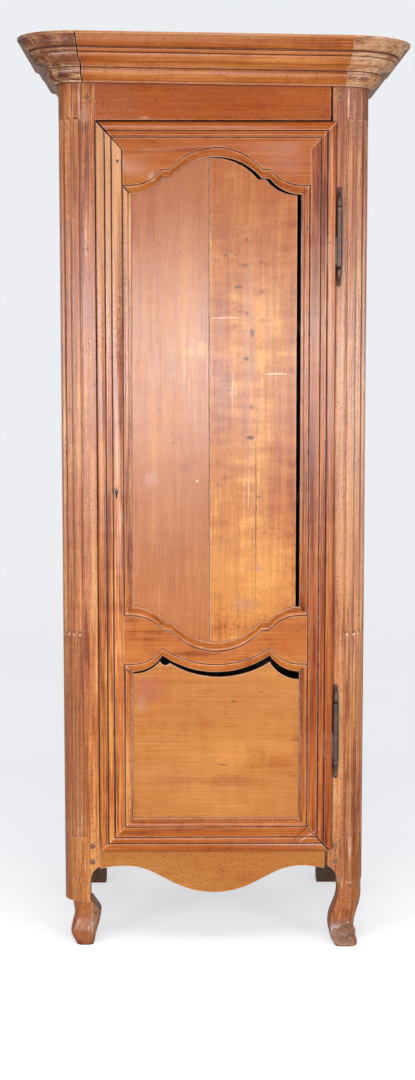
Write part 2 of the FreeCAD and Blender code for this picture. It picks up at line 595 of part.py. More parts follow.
def make_carcase_pegs():
    pegs = []
    for side in ("left", "right"):
        across = side_span(side, post_inner + "+peg_inset", post_inner + "+peg_inset")[0]
        for index, height in enumerate(front_pegs):
            pegs.append(rod("front_peg_%s_%d" % (side, index), "peg_radius", "y", "-peg_proud",
                            "peg_length", (across, height)))
        for end, depth in (("front", "post_depth-side_peg_inset"), ("back", back_front + "+side_peg_inset")):
            for level in side_rails:
                start, finish = side_span(side, groove_inner + "-side_peg_root", half + "+peg_proud")
                pegs.append(rod("side_peg_%s_%s_%s" % (side, end, level), "side_peg_radius", "x", start,
                                finish, (depth, rail_middle(level))))
    keep("carcase_pegs", pegs)


# ---------------------------------------------------------------- side frames
def make_side_rail(level):
    bottom, top = side_rails[level]
    tenon = rail_tenon(level)
    length = ("post_depth", back_front)
    plank = block("side_plank_" + level, (side_inner, side_outer), length, (bottom, top))
    tenons = block("side_tenons_" + level, (groove_inner, groove_outer),
                   ("post_depth-side_tenon_length", back_front + "+side_tenon_length"), tenon)
    tools = []
    for index, depth in enumerate(("post_depth-side_peg_inset", back_front + "+side_peg_inset")):
        tools.append(rod("side_hole_%s_%d" % (level, index), "side_peg_radius", "x",
                         groove_inner + "-side_peg_root", half + "+overcut", (depth, rail_middle(level))))
    if level != "bottom":
        tools.append(block("side_groove_below_" + level, (groove_inner, groove_outer), length,
                           (bottom, bottom + "+groove_depth")))
    if level != "top":
        tools.append(block("side_groove_above_" + level, (groove_inner, groove_outer), length,
                           (top + "-groove_depth", top)))
    if level == "top":
        tools.append(block("roof_seat", (side_inner, side_inner + "+roof_rebate"), length,
                           ("post_top-roof_thickness", "post_top")))
    return cut("side_rail_" + level, fuse("side_blank_" + level, [plank, tenons]), tools)


def make_side_panel(name, bottom, top):
    # slab held in the grooves, with a raised and bevelled field on its outer face
    reach = "(groove_depth-groove_slack)"
    slab = block(name + "_slab", (groove_inner, groove_outer),
                 ("post_depth-" + reach, back_front + "+" + reach),
                 ("%s-%s" % (bottom, reach), "%s+%s" % (top, reach)))
    field = doc.addObject("Part::Wedge", name + "_field")
    field.Placement.Rotation = FreeCAD.Rotation(FreeCAD.Vector(0, 0, 1), -90)
    field.setExpression("Placement.Base.x", bound(groove_outer))
    low_y, high_y = "-(%s-field_margin)" % back_front, "-(post_depth+field_margin)"
    low_z, high_z = bottom + "+field_margin", top + "-field_margin"
    for prop, text in (("Xmin", low_y), ("Xmax", high_y), ("X2min", low_y + "+field_bevel"),
                       ("X2max", high_y + "-field_bevel"), ("Ymin", "0"), ("Ymax", "field_rise"),
                       ("Zmin", low_z), ("Zmax", high_z), ("Z2min", low_z + "+field_bevel"),
                       ("Z2max", high_z + "-field_bevel")):
        field.setExpression(prop, bound(text))
    return fuse(name + "_whole", [slab, field])


def make_sides():
    for level in side_rails:
        rail = make_side_rail(level)
        keep("rail_side_%s_right" % level, [rail])
        keep("rail_side_%s_left" % level, [mirrored("side_rail_turned_" + level, rail)])
    spans = (("upper", "side_middle_top", "(post_top-side_top_rail)"),
             ("lower", "side_bottom_top", "(side_middle_top-side_middle_rail)"))
    for level, bottom, top in spans:
        panel = make_side_panel("side_panel_" + level, bottom, top)
        keep("panel_side_%s_right" % level, [panel])
        keep("panel_side_%s_left" % level, [mirrored("side_panel_turned_" + level, panel)])


# ---------------------------------------------------------------- back, floor, shelves and roof
back_rails = {
    "top": ("post_top-back_top_rail", "post_top"),
    "middle": ("back_middle_top-back_middle_rail", "back_middle_top"),
    "bottom": ("apron_top-back_bottom_rail", "apron_top"),
}
back_tenon_y = (back_front + "+(back_rail_thickness-tenon_thickness)/2",
                back_front + "+(back_rail_thickness+tenon_thickness)/2")


def boards(name, count, along, start, end, spans):
    # equal boards side by side along x or y, with open joints between them
    width = "((%s)-(%s)-board_gap*%d)/%d" % (end, start, count - 1, count)
    result = []
    for index in range(count):
        low = "(%s)+(%s+board_gap)*%d" % (start, width, index)
        ranges = dict(spans)
        ranges[along] = (low, low + "+" + width)
        result.append(block("%s_%d" % (name, index), ranges["x"], ranges["y"], ranges["z"]))
    return result


def post_corners(name):
    # room round the front posts that a board leaves free
    shapes = []
    for side in ("left", "right"):
        across = side_span(side, post_inner + "-loose_fit", half)
        shapes.append(block("%s_%s" % (name, side), across, ("-overcut", "post_depth+loose_fit"),
                            ("0", "post_top+overcut")))
    return shapes


def make_back():
    for level, (bottom, top) in back_rails.items():
        plank = block("back_plank_" + level, ("-" + back_inner, back_inner),
                      (back_front, back_front + "+back_rail_thickness"), (bottom, top))
        tenons = block("back_tenons_" + level,
                       ("-(%s+back_tenon_length)" % back_inner, back_inner + "+back_tenon_length"),
                       back_tenon_y, (bottom + "+tenon_shoulder", top + "-tenon_shoulder"))
        keep("rail_back_" + level, [fuse("back_rail_" + level, [plank, tenons])])
    skin = (back_front + "+back_rail_thickness", back_front + "+back_rail_thickness+back_board_thickness")
    planks = boards("back_board", 4, "x", "-(%s+back_rebate)" % back_inner, back_inner + "+back_rebate",
                    {"y": skin, "z": (back_rails["bottom"][0], "post_top")})
    keep("back_boards", planks)


def make_floor_and_roof():
    depth = ("rail_thickness", back_front)
    width = ("-(%s-loose_fit)" % side_inner, side_inner + "-loose_fit")
    planks = boards("floor_board", 4, "y", depth[0], depth[1],
                    {"x": width, "z": ("apron_top-floor_thickness", "apron_top")})
    planks[0] = cut("floor_board_notched", planks[0], post_corners("floor_corner"))
    keep("floor_boards", planks)
    low = ("apron_top-floor_thickness-bearer_height", "apron_top-floor_thickness")
    bearers = [
        block("bearer_front", ("-(%s-loose_fit)" % post_inner, post_inner + "-loose_fit"),
              ("rail_thickness", "rail_thickness+bearer_width"), low),
        block("bearer_back", ("bearer_width-" + side_inner, side_inner + "-bearer_width"),
              (back_front + "-bearer_width", back_front), low)]
    for side in ("left", "right"):
        across = side_span(side, side_inner + "-bearer_width", side_inner)
        bearers.append(block("bearer_" + side, across, ("post_depth", back_front), low))
    keep("floor_bearers", bearers)
    width = ("-(%s+roof_rebate-loose_fit)" % side_inner, side_inner + "+roof_rebate-loose_fit")
    planks = boards("roof_board", 4, "y", depth[0], depth[1],
                    {"x": width, "z": ("post_top-roof_thickness", "post_top")})
    planks[0] = cut("roof_board_notched", planks[0], post_corners("roof_corner"))
    keep("roof_boards", planks)


def make_shelves():
    cleats = []
    for level in shelf_levels:
        top = "shelf_" + level
        board = block("shelf_board_" + level, ("-(%s-loose_fit)" % side_inner, side_inner + "-loose_fit"),
                      ("post_depth+loose_fit", back_front + "-loose_fit"), (top + "-shelf_thickness", top))
        keep("shelf_" + level, [board])
        for side in ("left", "right"):
            across = side_span(side, side_inner + "-cleat_width", side_inner)
            cleats.append(block("cleat_%s_%s" % (level, side), across,
                                ("post_depth-cleat_housing", back_front + "+cleat_housing"), cleat_z(level)))
    keep("shelf_cleats", cleats)


# ---------------------------------------------------------------- cornice
def cornice_path(place, sign):
    # section of the moulding: place is the post face, sign the way that it grows outwards
    base = "post_top-cornice_drop+"
    corners = [
        ("cornice_slack", "0"), ("fascia_out", "0"), ("fascia_out", "fascia_rise", "torus_radius"),
        ("torus_out", "torus_rise"), ("torus_out", "scotia_rise-cornice_quirk"),
        ("torus_out-cornice_quirk", "scotia_rise-cornice_quirk"), ("torus_out-cornice_quirk", "scotia_rise"),
        ("torus_out", "scotia_rise", "-scotia_radius"), ("scotia_out", "scotia_top"),
        ("scotia_out+ledge_width", "scotia_top", "echinus_radius"), ("echinus_out", "echinus_top"),
        ("echinus_out-ledge_width", "echinus_top"), ("echinus_out-ledge_width", "echinus_top+listel_rise"),
        ("echinus_out-listel_rise", "echinus_top+listel_rise", "astragal_radius"),
        ("astragal_out", "astragal_top"), ("astragal_out-ledge_width", "astragal_top"),
        ("astragal_out-ledge_width", "cyma_start"), ("astragal_out", "cyma_start", "cyma_lower_radius"),
        ("cyma_middle_out", "cyma_middle", "-cyma_upper_radius"), ("cyma_top_out", "cyma_top"),
        ("cornice_projection", "cyma_top"), ("cornice_projection", "cornice_height"),
        ("cornice_projection-cornice_top_width", "cornice_height"),
        ("-cornice_heel", "cornice_drop+cornice_heel_height"), ("-cornice_heel", "cornice_drop"),
        ("cornice_slack", "cornice_drop")]
    path = []
    for corner in corners:
        point = ("%s%s(%s)" % (place, "+" if sign > 0 else "-", corner[0]), base + corner[1])
        if len(corner) == 3:
            point += (corner[2] if sign > 0 else "-(%s)" % corner[2],)
        path.append(point)
    return path


def make_cornice():
    straight = prism("cornice_front_run", "YZ", cornice_path("0", -1), "-" + half, half)
    front = prism("cornice_block_run", "YZ", cornice_path("0", -1), "cornice_joint-cornice_side_joint",
                  half + "-post_round")
    side = prism("cornice_side_run", "XZ", cornice_path(half, 1), "post_round", "body_depth")
    corner = turned("cornice_corner_run", cornice_path("post_round", 1),
                    (half + "-post_round", "post_round", "0"), 90)
    reach = half + "+cornice_projection+overcut"
    outer_y = "(cornice_projection+overcut)"
    inner_x = "cornice_joint-cornice_joint_lean*cornice_side_joint"
    outer_x = "cornice_joint+cornice_joint_lean*" + outer_y

    def wedge(name, slack):
        return prism(name, "XY", [(inner_x + "-" + slack, "cornice_side_joint"),
                                  (outer_x + "-" + slack, "-" + outer_y),
                                  (reach, "-" + outer_y), (reach, "cornice_side_joint")],
                     "post_top-cornice_drop-overcut", "post_top+cornice_height")

    nails = []
    for level in ("low", "high"):
        head = "nail_%s_depth" % level
        nails.append(rod("cornice_nail_" + level, "nail_radius", "y", "-" + head, "nail_length-" + head,
                         (half + "-nail_%s_inset" % level, "post_top-cornice_drop+nail_%s_height" % level)))
    whole = fuse("cornice_right_run", [front, corner, side])
    corner_block = common("cornice_corner_cut", [whole, wedge("corner_wedge", "0")])
    block_right = cut("cornice_block", corner_block, nails)
    keep("cornice_corner_right", [block_right], tilted=True)
    keep("cornice_corner_left", [mirrored("cornice_block_turned", block_right)], tilted=True)
    ends = [wedge("front_end_right", "0"),
            mirrored("front_end_left", wedge("front_end_open", "cornice_open_joint"))]
    keep("cornice_front", [cut("cornice_front_cut", straight, ends)], tilted=True)
    side_piece = cut("cornice_side_cut", side, [wedge("side_end", "0")])
    keep("cornice_side_right", [side_piece], tilted=True)
    keep("cornice_side_left", [mirrored("cornice_side_turned", side_piece)], tilted=True)
    rail = block("cornice_back", ("cornice_heel-" + half, half + "-cornice_heel"),
                 ("body_depth-cornice_back_rail", "body_depth"), ("post_top", "post_top+cornice_back_height"))
    keep("cornice_rail_back", [rail], tilted=True)
    nails += [mirrored("cornice_nail_turned_%d" % index, nail) for index, nail in enumerate(nails)]
    keep("cornice_nails", nails, tilted=True)
    # packing between the top of the carcase and the lifted end of the cornice
    packing = []
    spots = (("side_front", "-" + side_outer, "cornice_heel-" + half, "packing_start"),
             ("side_back", "-" + side_outer, "cornice_heel-" + half, back_front + "-packing_length"),
             ("front", "-apron_arch_x", "-apron_slope_x", "0"))
    for name, start, end, depth in spots:
        length = "cornice_heel" if name == "front" else "packing_length"
        lift = "(body_width/2-(%s))*sin(cornice_tilt)" % end
        packing.append(block("packing_" + name, (start, end), (depth, depth + "+" + length),
                             ("post_top", "post_top+" + lift)))
    keep("cornice_packing", packing)


# ---------------------------------------------------------------- door frame
groove_y = ("panel_front-panel_slack", "panel_front+panel_thickness+panel_slack")
tenon_inner = {"left": "(door_gap-%s+door_band)" % post_inner, "right": "(%s-door_band)" % door_right}
door_tenons = {
    "top": (crown_side + "+stile_width-door_band+door_tenon_shoulder", door_top + "-door_tenon_top"),
    "middle": (belly_side + "+stile_width-door_band+door_tenon_shoulder",
               dip_side + "-stile_width+door_band-door_tenon_shoulder"),
    "bottom": (door_bottom + "+door_tenon_low", door_bottom + "+door_tenon_low+door_tenon_low_width"),
}


def step_path(apex, sign):
    # shaped edge of the upper panel, left to right: sweep, step, arched middle, step, sweep
    sweep = "%s%s" % ("" if sign > 0 else "-", sweep_radius)
    arch = "%scrown_radius" % ("-" if sign > 0 else "")
    drop = "%s%s(%%s)" % (apex, "-" if sign > 0 else "+")
    points = [("-sight_half", "side_drop", sweep), ("-step_outer", "crown_drop"),
              ("-crown_half", "crown_drop", arch), ("crown_half", "crown_drop"),
              ("step_outer", "crown_drop", sweep), ("sight_half", "side_drop")]
    return [(sight_middle + "+(%s)" % point[0], drop % point[1]) + point[2:] for point in points]


def cusp_path(drop_left="0", drop_right="0"):
    # double-arched head of the lower panel, left to right; the drops lower its two ends
    def lowered(x, z):
        drop = "(%s)+((%s)-(%s))*((sight_half+(%s))/(2*sight_half))" % (drop_left, drop_right, drop_left, x)
        return sight_middle + "+(%s)" % x, "%s-(%s)" % (z, drop)

    cusp_z = "belly_apex+cusp_rise"
    return [lowered("-sight_half", belly_side) + (cusp_radius,),
            lowered("-cusp_half", cusp_z) + (belly_radius,),
            lowered("cusp_half", cusp_z) + (cusp_radius,), lowered("sight_half", belly_side)]


def moved(path, x, z):
    return [("%s+(%s)" % (point[0], x), "%s+(%s)" % (point[1], z)) + point[2:] for point in path]


def frame_profile(edge, sign, swapped, width=None):
    # section of a door member from its outer edge inwards: band, bead, flat and, unless a plain width
    # is asked for, the inner moulding
    quirk = "quirk_depth-door_face"
    bead_end = "band_width+quirk_width+bead_width"
    corners = [
        ("0", "door_back"), ("0", "band_edge-door_crown", "band_edge"), ("band_edge", "-door_crown"),
        ("band_width", "band_fall-door_crown"), ("band_width", quirk), ("band_width+quirk_width", quirk),
        ("band_width+quirk_width", "-door_face", "bead_radius"), (bead_end, "-door_face"),
        (bead_end, quirk), (bead_end + "+quirk_width", quirk), (bead_end + "+quirk_width", "-door_face")]
    if width:
        corners += [(width, "-door_face"), (width, "door_back")]
    else:
        corners += [
            ("door_band", "-door_face"), ("door_band", quirk), ("door_band+quirk_width", quirk),
            ("door_band+quirk_width", "ovolo_drop-door_face", "ovolo_radius"),
            ("stile_width-moulding_fillet", "-(moulding_waist+moulding_fillet_rise)"),
            ("stile_width-moulding_fillet", "-moulding_waist", "-cavetto_radius"),
            ("stile_width", "moulding_foot"), ("stile_width", "door_back")]
    path = []
    for corner in corners:
        across = "%s%s(%s)" % (edge, "+" if sign > 0 else "-", corner[0])
        point = (corner[1], across) if swapped else (across, corner[1])
        if len(corner) == 3:
            flipped = (sign < 0) != swapped
            point += ("-(%s)" % corner[2] if flipped else corner[2],)
        path.append(point)
    return path


def moulding_cutter(name, path, sign):
    # hollow of the inner moulding along a shaped edge; the wood lies above the edge for sign 1
    body = doc.addObject("PartDesign::Body", name)
    start = "(%s-sweep_runout)" % path[0][0]
    spine = sketch_in(body, name + "_spine", "XZ")
    trace(spine, [(start, path[0][1])] + path + [(path[-1][0] + "+sweep_runout", path[-1][1])], closed=False)
    section = sketch_in(body, name + "_section", "YZ", start)
    width = "stile_width-door_band"
    corners = [
        ("-cutter_side", "moulding_foot"), ("0", "moulding_foot", "cavetto_radius"),
        ("moulding_fillet", "-moulding_waist"),
        ("moulding_fillet", "-(moulding_waist+moulding_fillet_rise)", "-ovolo_radius"),
        (width + "-quirk_width", "ovolo_drop-door_face"), (width + "-quirk_width", "quirk_depth-door_face"),
        (width, "quirk_depth-door_face"), (width, "-cutter_reach"), ("-cutter_side", "-cutter_reach")]
    outline = []
    for corner in corners:
        point = (corner[1], "%s%s(%s)" % (path[0][1], "+" if sign > 0 else "-", corner[0]))
        if len(corner) == 3:
            point += (corner[2] if sign > 0 else "-(%s)" % corner[2],)
        outline.append(point)
    trace(section, outline)
    pipe = body.newObject("PartDesign::AdditivePipe", name + "_pipe")
    pipe.Profile = section
    pipe.Spine = (spine, ["Edge%d" % (index + 1) for index in range(len(path) + 1)])
    pipe.Mode = "Binormal"
    pipe.Binormal = FreeCAD.Vector(0, 1, 0)
    pipe.Transition = "Right corner"
    body.Tip = pipe
    return body


def panel_groove(name, top, bottom):
    # groove that runs round an opening of the door, between two shaped or straight edges
    left, right = sight_left + "-panel_groove", sight_right + "+panel_groove"
    outline = [(left, bottom[0][1])] + bottom + [(right, bottom[-1][1]), (right, top[-1][1])]
    outline += backwards(top) + [(left, top[0][1])]
    return prism(name, "XZ", outline, groove_y[0], groove_y[1])


def door_tools():
    # everything that is taken out of more than one member of the door frame
    straight = [(sight_left, sight_bottom), (sight_right, sight_bottom)]
    around = ("-" + half, half)
    low = door_bottom + "-overcut"
    outer, worn = door_left + "-overcut", door_left + "+corner_wear_x"
    tools = [
        panel_groove("groove_upper", moved(step_path("crown_apex", 1), "0", "panel_groove_reach"),
                     moved(step_path("dip_apex", -1), "0", "-panel_groove_reach")),
        panel_groove("groove_lower", moved(cusp_path(), "0", "panel_groove_reach"),
                     moved(straight, "0", "-panel_groove")),
        block("lip_side", (post_inner + "-lip_clearance", half), ("-lip_gap", "door_back+overcut"),
              (low, door_top + "+overcut")),
        block("lip_bottom", around, ("-lip_gap", "door_back+overcut"), (low, "apron_top+lip_clearance")),
        prism("corner_wear", "XZ", [
            (outer, low), (worn, low), (worn, door_bottom), (door_left, door_bottom + "+corner_wear_z"),
            (outer, door_bottom + "+corner_wear_z")], "-cutter_reach", "door_back+overcut")]
    return tools + door_peg_rods("door_peg_hole")


def door_peg_rods(name):
    rods = []
    for side, across in (("left", tenon_inner["left"] + "-door_peg_inset"),
                         ("right", tenon_inner["right"] + "+door_peg_inset")):
        for level, (bottom, top) in door_tenons.items():
            for index, share in enumerate((0.25, 0.75)):
                height = "%s+(%s-(%s))*%s" % (bottom, top, bottom, share)
                rods.append(rod("%s_%s_%s_%d" % (name, side, level, index), "door_peg_radius", "y",
                                "-door_peg_front", "door_back+door_peg_proud", (across, height)))
    return rods


def door_tenon_block(name, side, level):
    # tenons run on behind the mitres and across shoulders that have opened
    if side == "left":
        across = (tenon_inner["left"] + "-door_tenon_length", tenon_inner["left"] + "+panel_groove")
    else:
        across = (tenon_inner["right"] + "-panel_groove", tenon_inner["right"] + "+door_tenon_length")
    depth = ("door_tenon_front", "door_tenon_front+door_tenon")
    return block("%s_%s_%s" % (name, side, level), across, depth, door_tenons[level])


def make_stile(side, tools):
    edge, sign = (door_left, 1) if side == "left" else (door_right, -1)
    blank = prism("stile_profile_" + side, "XY", frame_profile(edge, sign, False), door_bottom, door_top)
    way = "+" if sign > 0 else "-"
    shoulder = edge + way + "door_band"
    sight = edge + way + "stile_width"
    mitre = "(stile_width-door_band)"
    outline = prism("stile_outline_" + side, "XZ", [
        (edge, door_bottom), (edge, door_top), (shoulder, door_top + "-top_band"),
        (shoulder, crown_side + "+" + mitre), (sight, crown_side), (sight, dip_side),
        (shoulder, dip_side + "-" + mitre), (shoulder, belly_side + "+" + mitre), (sight, belly_side),
        (sight, sight_bottom)], "-cutter_reach", "door_back")
    mortises = [door_tenon_block("door_mortise", side, level) for level in door_tenons]
    if side == "left":
        across = edge + "+lock_backset"
        through = ("-cutter_reach", "door_back+overcut")
        extra = [rod("key_hole", "key_hole_radius", "y", through[0], through[1], (across, "lock_z")),
                 block("key_slot", (across + "-key_slot_width/2", across + "+key_slot_width/2"), through,
                       ("lock_z-key_slot_length", "lock_z"))]
    else:
        extra = hinge_nail_rods("stile_nail_hole")
        for level in ("upper", "lower"):
            extra.append(block("door_wing_slot_" + level, ("hinge_x-wing_length", door_right + "+overcut"),
                               ("-hinge_y-wing_thickness/2", "-hinge_y+wing_thickness/2"),
                               door_wing_z(level)))
    return cut("stile_" + side, common("stile_blank_" + side, [blank, outline]), mortises + tools + extra)


def make_door_frame():
    tools = door_tools()
    keep("door_stile_lock", [make_stile("left", tools)])
    keep("door_stile_hinge", [make_stile("right", tools)])
    mitre = "(stile_width-door_band)"
    shoulders = (sight_left + "-" + mitre, sight_right + "+" + mitre)
    crown = step_path("crown_apex", 1)
    dip = step_path("dip_apex", -1)
    cusps = cusp_path()
    outlines = {
        "top": [(shoulders[0] + "+open_shoulder_top", crown_side + "+" + mitre)] + crown + [
            (shoulders[1], crown_side + "+" + mitre), (shoulders[1], door_top + "-top_band"),
            (door_right, door_top), (door_left + "+open_mitre", door_top),
            (shoulders[0] + "+open_shoulder_top", door_top + "-top_band")],
        "middle": [(shoulders[0], belly_side + "+" + mitre)] + cusps + [
            (shoulders[1] + "-open_shoulder_middle", belly_side + "+" + mitre),
            (shoulders[1] + "-open_shoulder_middle", dip_side + "-" + mitre)] + backwards(dip) + [
            (shoulders[0], dip_side + "-" + mitre)],
        "bottom": [(door_left, door_bottom), (door_right + "-open_mitre_foot", door_bottom),
                   (sight_right, sight_bottom), (sight_left, sight_bottom)],
    }
    reach = (door_left, door_right)
    blanks = {
        "top": prism("rail_profile_top", "YZ", frame_profile(door_top, -1, True, door_top + "-" + crown_side),
                     reach[0], reach[1]),
        "middle": block("rail_profile_middle", reach, ("-door_face", "door_back"), (door_bottom, door_top)),
        "bottom": prism("rail_profile_bottom", "YZ", frame_profile(door_bottom, 1, True), reach[0], reach[1]),
    }
    hollows = {
        "top": [moulding_cutter("hollow_crown", crown, 1)],
        "middle": [moulding_cutter("hollow_dip", dip, -1), moulding_cutter("hollow_cusps", cusps, 1)],
        "bottom": [],
    }
    for level in door_tenons:
        outline = prism("rail_outline_" + level, "XZ", outlines[level], "-cutter_reach", "door_back")
        rail = common("rail_blank_" + level, [blanks[level], outline])
        tenons = [door_tenon_block("door_tenon", side, level) for side in ("left", "right")]
        whole = fuse("rail_whole_" + level, [cut("rail_hollowed_" + level, rail, hollows[level])] + tenons)
        keep("door_rail_" + level, [cut("rail_worked_" + level, whole, tools)])
    keep("door_pegs", door_peg_rods("door_peg"))


# ---------------------------------------------------------------- door panels
def make_panels():
    depth = ("panel_front", "panel_front+panel_thickness")
    left, right = sight_left + "-panel_tongue", sight_right + "+panel_tongue"
    foot = moved(step_path("dip_apex", -1), "0", "-panel_tongue")
    # two upper boards that have shrunk apart and slid to the left
    heads = {
        "left": moved(step_path("crown_apex", 1), "-panel_shrink", "panel_lift"),
        "right": moved(step_path("crown_apex", 1), "-panel_shrink", "-panel_slide"),
    }
    spans = {
        "left": (left, "panel_joint-panel_joint_gap/2"),
        "right": ("panel_joint+panel_joint_gap/2", sight_right + "-panel_shrink"),
    }
    for side in ("left", "right"):
        head = heads[side]
        outline = [(left, foot[0][1])] + foot + [(right, foot[-1][1]), (right, head[-1][1])]
        outline += backwards(head)
        shape = prism("upper_board_" + side, "XZ", outline, depth[0], depth[1])
        strip = block("upper_strip_" + side, spans[side], depth, (sight_bottom, door_top))
        keep("door_panel_upper_" + side, [common("upper_panel_" + side, [shape, strip])])
    # the lower board has dropped further at its right end and lost a chip at the left cusp
    head = cusp_path("lower_drop_left", "lower_drop_right")
    low = sight_bottom + "-panel_tongue"
    outline = [(left, low), (right, low), (right, head[-1][1])] + backwards(head) + [(left, head[0][1])]
    chip = rod("lower_chip", "chip_radius", "y", depth[0] + "-overcut", depth[1] + "+overcut",
               (sight_middle + "-cusp_half+chip_shift", "belly_apex+cusp_rise-chip_drop"))
    board = prism("lower_board", "XZ", outline, depth[0], depth[1])
    keep("door_panel_lower", [cut("lower_panel", board, [chip])])


# ---------------------------------------------------------------- hinges
def hinge_nail_rods(name):
    rods = []
    for level in ("upper", "lower"):
        for index, fall in enumerate(("hinge_nail_first", "hinge_nail_second")):
            rods.append(rod("%s_%s_%d" % (name, level, index), "hinge_nail_radius", "y",
                            "-(door_crown+hinge_nail_proud)", "hinge_nail_length-door_crown",
                            ("hinge_nail_x", "hinge_%s_z-%s" % (level, fall))))
    return rods


def finial_path(base, sign, hole):
    # turned vase from a flange on the knuckle to a tip, growing upwards for sign 1
    corners = [
        (hole, "0"), ("finial_flange", "0"), ("finial_flange", "finial_flange_height"),
        ("finial_neck", "finial_neck_z", "finial_curve"),
        ("finial_bulb", "finial_bulb_z", "finial_bulb_curve"),
        ("finial_waist", "finial_waist_z"), ("finial_ring", "finial_ring_z", "finial_ring"),
        ("finial_throat", "finial_throat_z"), ("finial_ball", "finial_ball_z", "finial_curve"),
        ("finial_tip", "finial_height"), ("0", "finial_height")]
    if hole != "0":
        corners += [("0", "rivet_length"), (hole, "rivet_length")]
    path = []
    for corner in corners:
        point = (corner[0], "%s%s(%s)" % (base, "+" if sign > 0 else "-", corner[1]))
        if len(corner) == 3:
            point += (corner[2] if sign > 0 else "-(%s)" % corner[2],)
        path.append(point)
    return path


def make_hinge(level, nails):
    split = "hinge_%s_z" % level
    name = "hinge_" + level
    axis = ("hinge_x", "-hinge_y")
    top = split + "+knuckle_length"
    foot = split + "-knuckle_length-knuckle_gap"
    bore = "pin_radius+pin_fit"
    pin = fuse(name + "_pin_whole", [
        rod(name + "_shank", "pin_radius", "z", foot, top + "+overcut", axis),
        rod(name + "_rivet", "rivet_radius", "z", foot + "-rivet_length", foot, axis),
        turned(name + "_vase", finial_path(top, 1, "0"), axis + ("0",))])
    keep(name + "_pin", [pin])
    keep(name + "_finial", [turned(name + "_lower_vase", finial_path(foot, -1, "rivet_radius"),
                                   axis + ("0",))])
    thick = "wing_thickness/2"
    barrel = rod(name + "_post_barrel", "barrel_radius", "z", split, top, axis)
    wing = block(name + "_post_wing", ("hinge_x-" + thick, "hinge_x+" + thick), ("-hinge_y", "wing_length"),
                 post_wing_z(level))
    hole = rod(name + "_post_bore", bore, "z", split + "-overcut", top + "+overcut", axis)
    keep(name + "_leaf_post", [cut(name + "_post_leaf", fuse(name + "_post_plate", [barrel, wing]), [hole])])
    barrel = rod(name + "_door_barrel", "barrel_radius", "z", split + "-knuckle_length",
                 split + "-knuckle_gap", axis)
    wing = block(name + "_door_wing", ("hinge_x-wing_length", "hinge_x"),
                 ("-hinge_y-" + thick, "-hinge_y+" + thick), door_wing_z(level))
    hole = rod(name + "_door_bore", bore, "z", split + "-knuckle_length-overcut", split + "+overcut", axis)
    keep(name + "_leaf_door", [cut(name + "_door_leaf", fuse(name + "_door_plate", [barrel, wing]),
                                   [hole] + nails)])


def make_hinges():
    nails = hinge_nail_rods("hinge_nail")
    for level in ("upper", "lower"):
        make_hinge(level, nails)
    keep("hinge_nails", nails)


# ---------------------------------------------------------------- lock
def make_lock():
    left = "(%s+lock_inset)" % door_left
    right = left + "+lock_width"
    low, high = "(lock_z-lock_below)", "(lock_z-lock_below+lock_height)"
    rear = "(door_back+lock_depth)"
    inside = rear + "-lock_wall"
    tray = cut("lock_tray", block("lock_box", (left, right), ("door_back", rear), (low, high)), [
        block("lock_inside", (left + "+lock_wall", right + "-lock_wall"), ("door_back", inside),
              (low + "+lock_wall", high + "-lock_wall")),
        block("bolt_window", (left + "-overcut", left + "+lock_wall"),
              (bolt_y[0] + "-bolt_fit", bolt_y[1] + "+bolt_fit"),
              (bolt_z[0] + "-bolt_fit", bolt_z[1] + "+bolt_fit"))])
    guide = block("bolt_guide", (left + "+lock_wall", right + "-lock_wall"), (bolt_y[0], inside),
                  (bolt_z[0] + "-bolt_fit-lock_wall", bolt_z[0] + "-bolt_fit"))
    flange = block("lock_flange", (right, right + "+lock_flange"),
                   ("door_back", "door_back+lock_flange_thickness"), (low, high))
    keep("lock_case", [fuse("lock_case_whole", [tray, guide, flange])])
    keep("lock_bolt", [block("lock_bolt_bar", (left, left + "+bolt_length"), bolt_y, bolt_z)])
    key_x = door_left + "+lock_backset"
    keep("lock_key_pin", [rod("key_pin", "key_pin_radius", "y", "-key_pin_front", inside, (key_x, "lock_z"))])
    spring_z = (bolt_z[1] + "+bolt_fit", bolt_z[1] + "+bolt_fit+spring_thickness")
    leaf = block("spring_leaf", (left + "+spring_inset", left + "+spring_inset+spring_length"), bolt_y,
                 spring_z)
    stud = block("spring_stud", (left + "+spring_inset+spring_length-bolt_thickness",
                                 left + "+spring_inset+spring_length"), (bolt_y[0], inside),
                 (spring_z[1], high + "-lock_wall"))
    keep("lock_spring", [fuse("spring_whole", [leaf, stud])])
    plate = block("strike_blank", ("-(%s+strike_thickness)" % post_inner, "-" + post_inner),
                  ("strike_front", "strike_front+strike_width"), strike_z())
    window = block("strike_window", ("-" + half, "0"), (bolt_y[0] + "-strike_fit", bolt_y[1] + "+strike_fit"),
                   (bolt_z[0] + "-strike_fit", bolt_z[1] + "+strike_fit"))
    keep("strike_plate", [cut("strike_cut", plate, [window])])


make_posts()
make_front_rails()
make_sides()
make_back()
make_floor_and_roof()
make_shelves()
make_cornice()
make_carcase_pegs()
make_door_frame()
make_panels()
make_hinges()
make_lock()
doc.recompute()

# ---------------------------------------------------------------- check and write
broken = [item.Label for item in doc.Objects if "Invalid" in item.State or "Error" in item.State]
broken += [piece.Label for piece in parts if piece.Shape.isNull() or not piece.Shape.isValid()]
if broken:
    raise RuntimeError("not built: " + ", ".join(broken))
os.makedirs("parts", exist_ok=True)
for piece in parts:
    piece.Shape.exportStep("parts/%s.step" % piece.Label)
    print("%-28s %2d solids %12.1f mm3" % (piece.Label, len(piece.Shape.Solids), piece.Shape.Volume))
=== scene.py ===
import bpy
import bmesh
import json
import math
from mathutils import Matrix, Vector


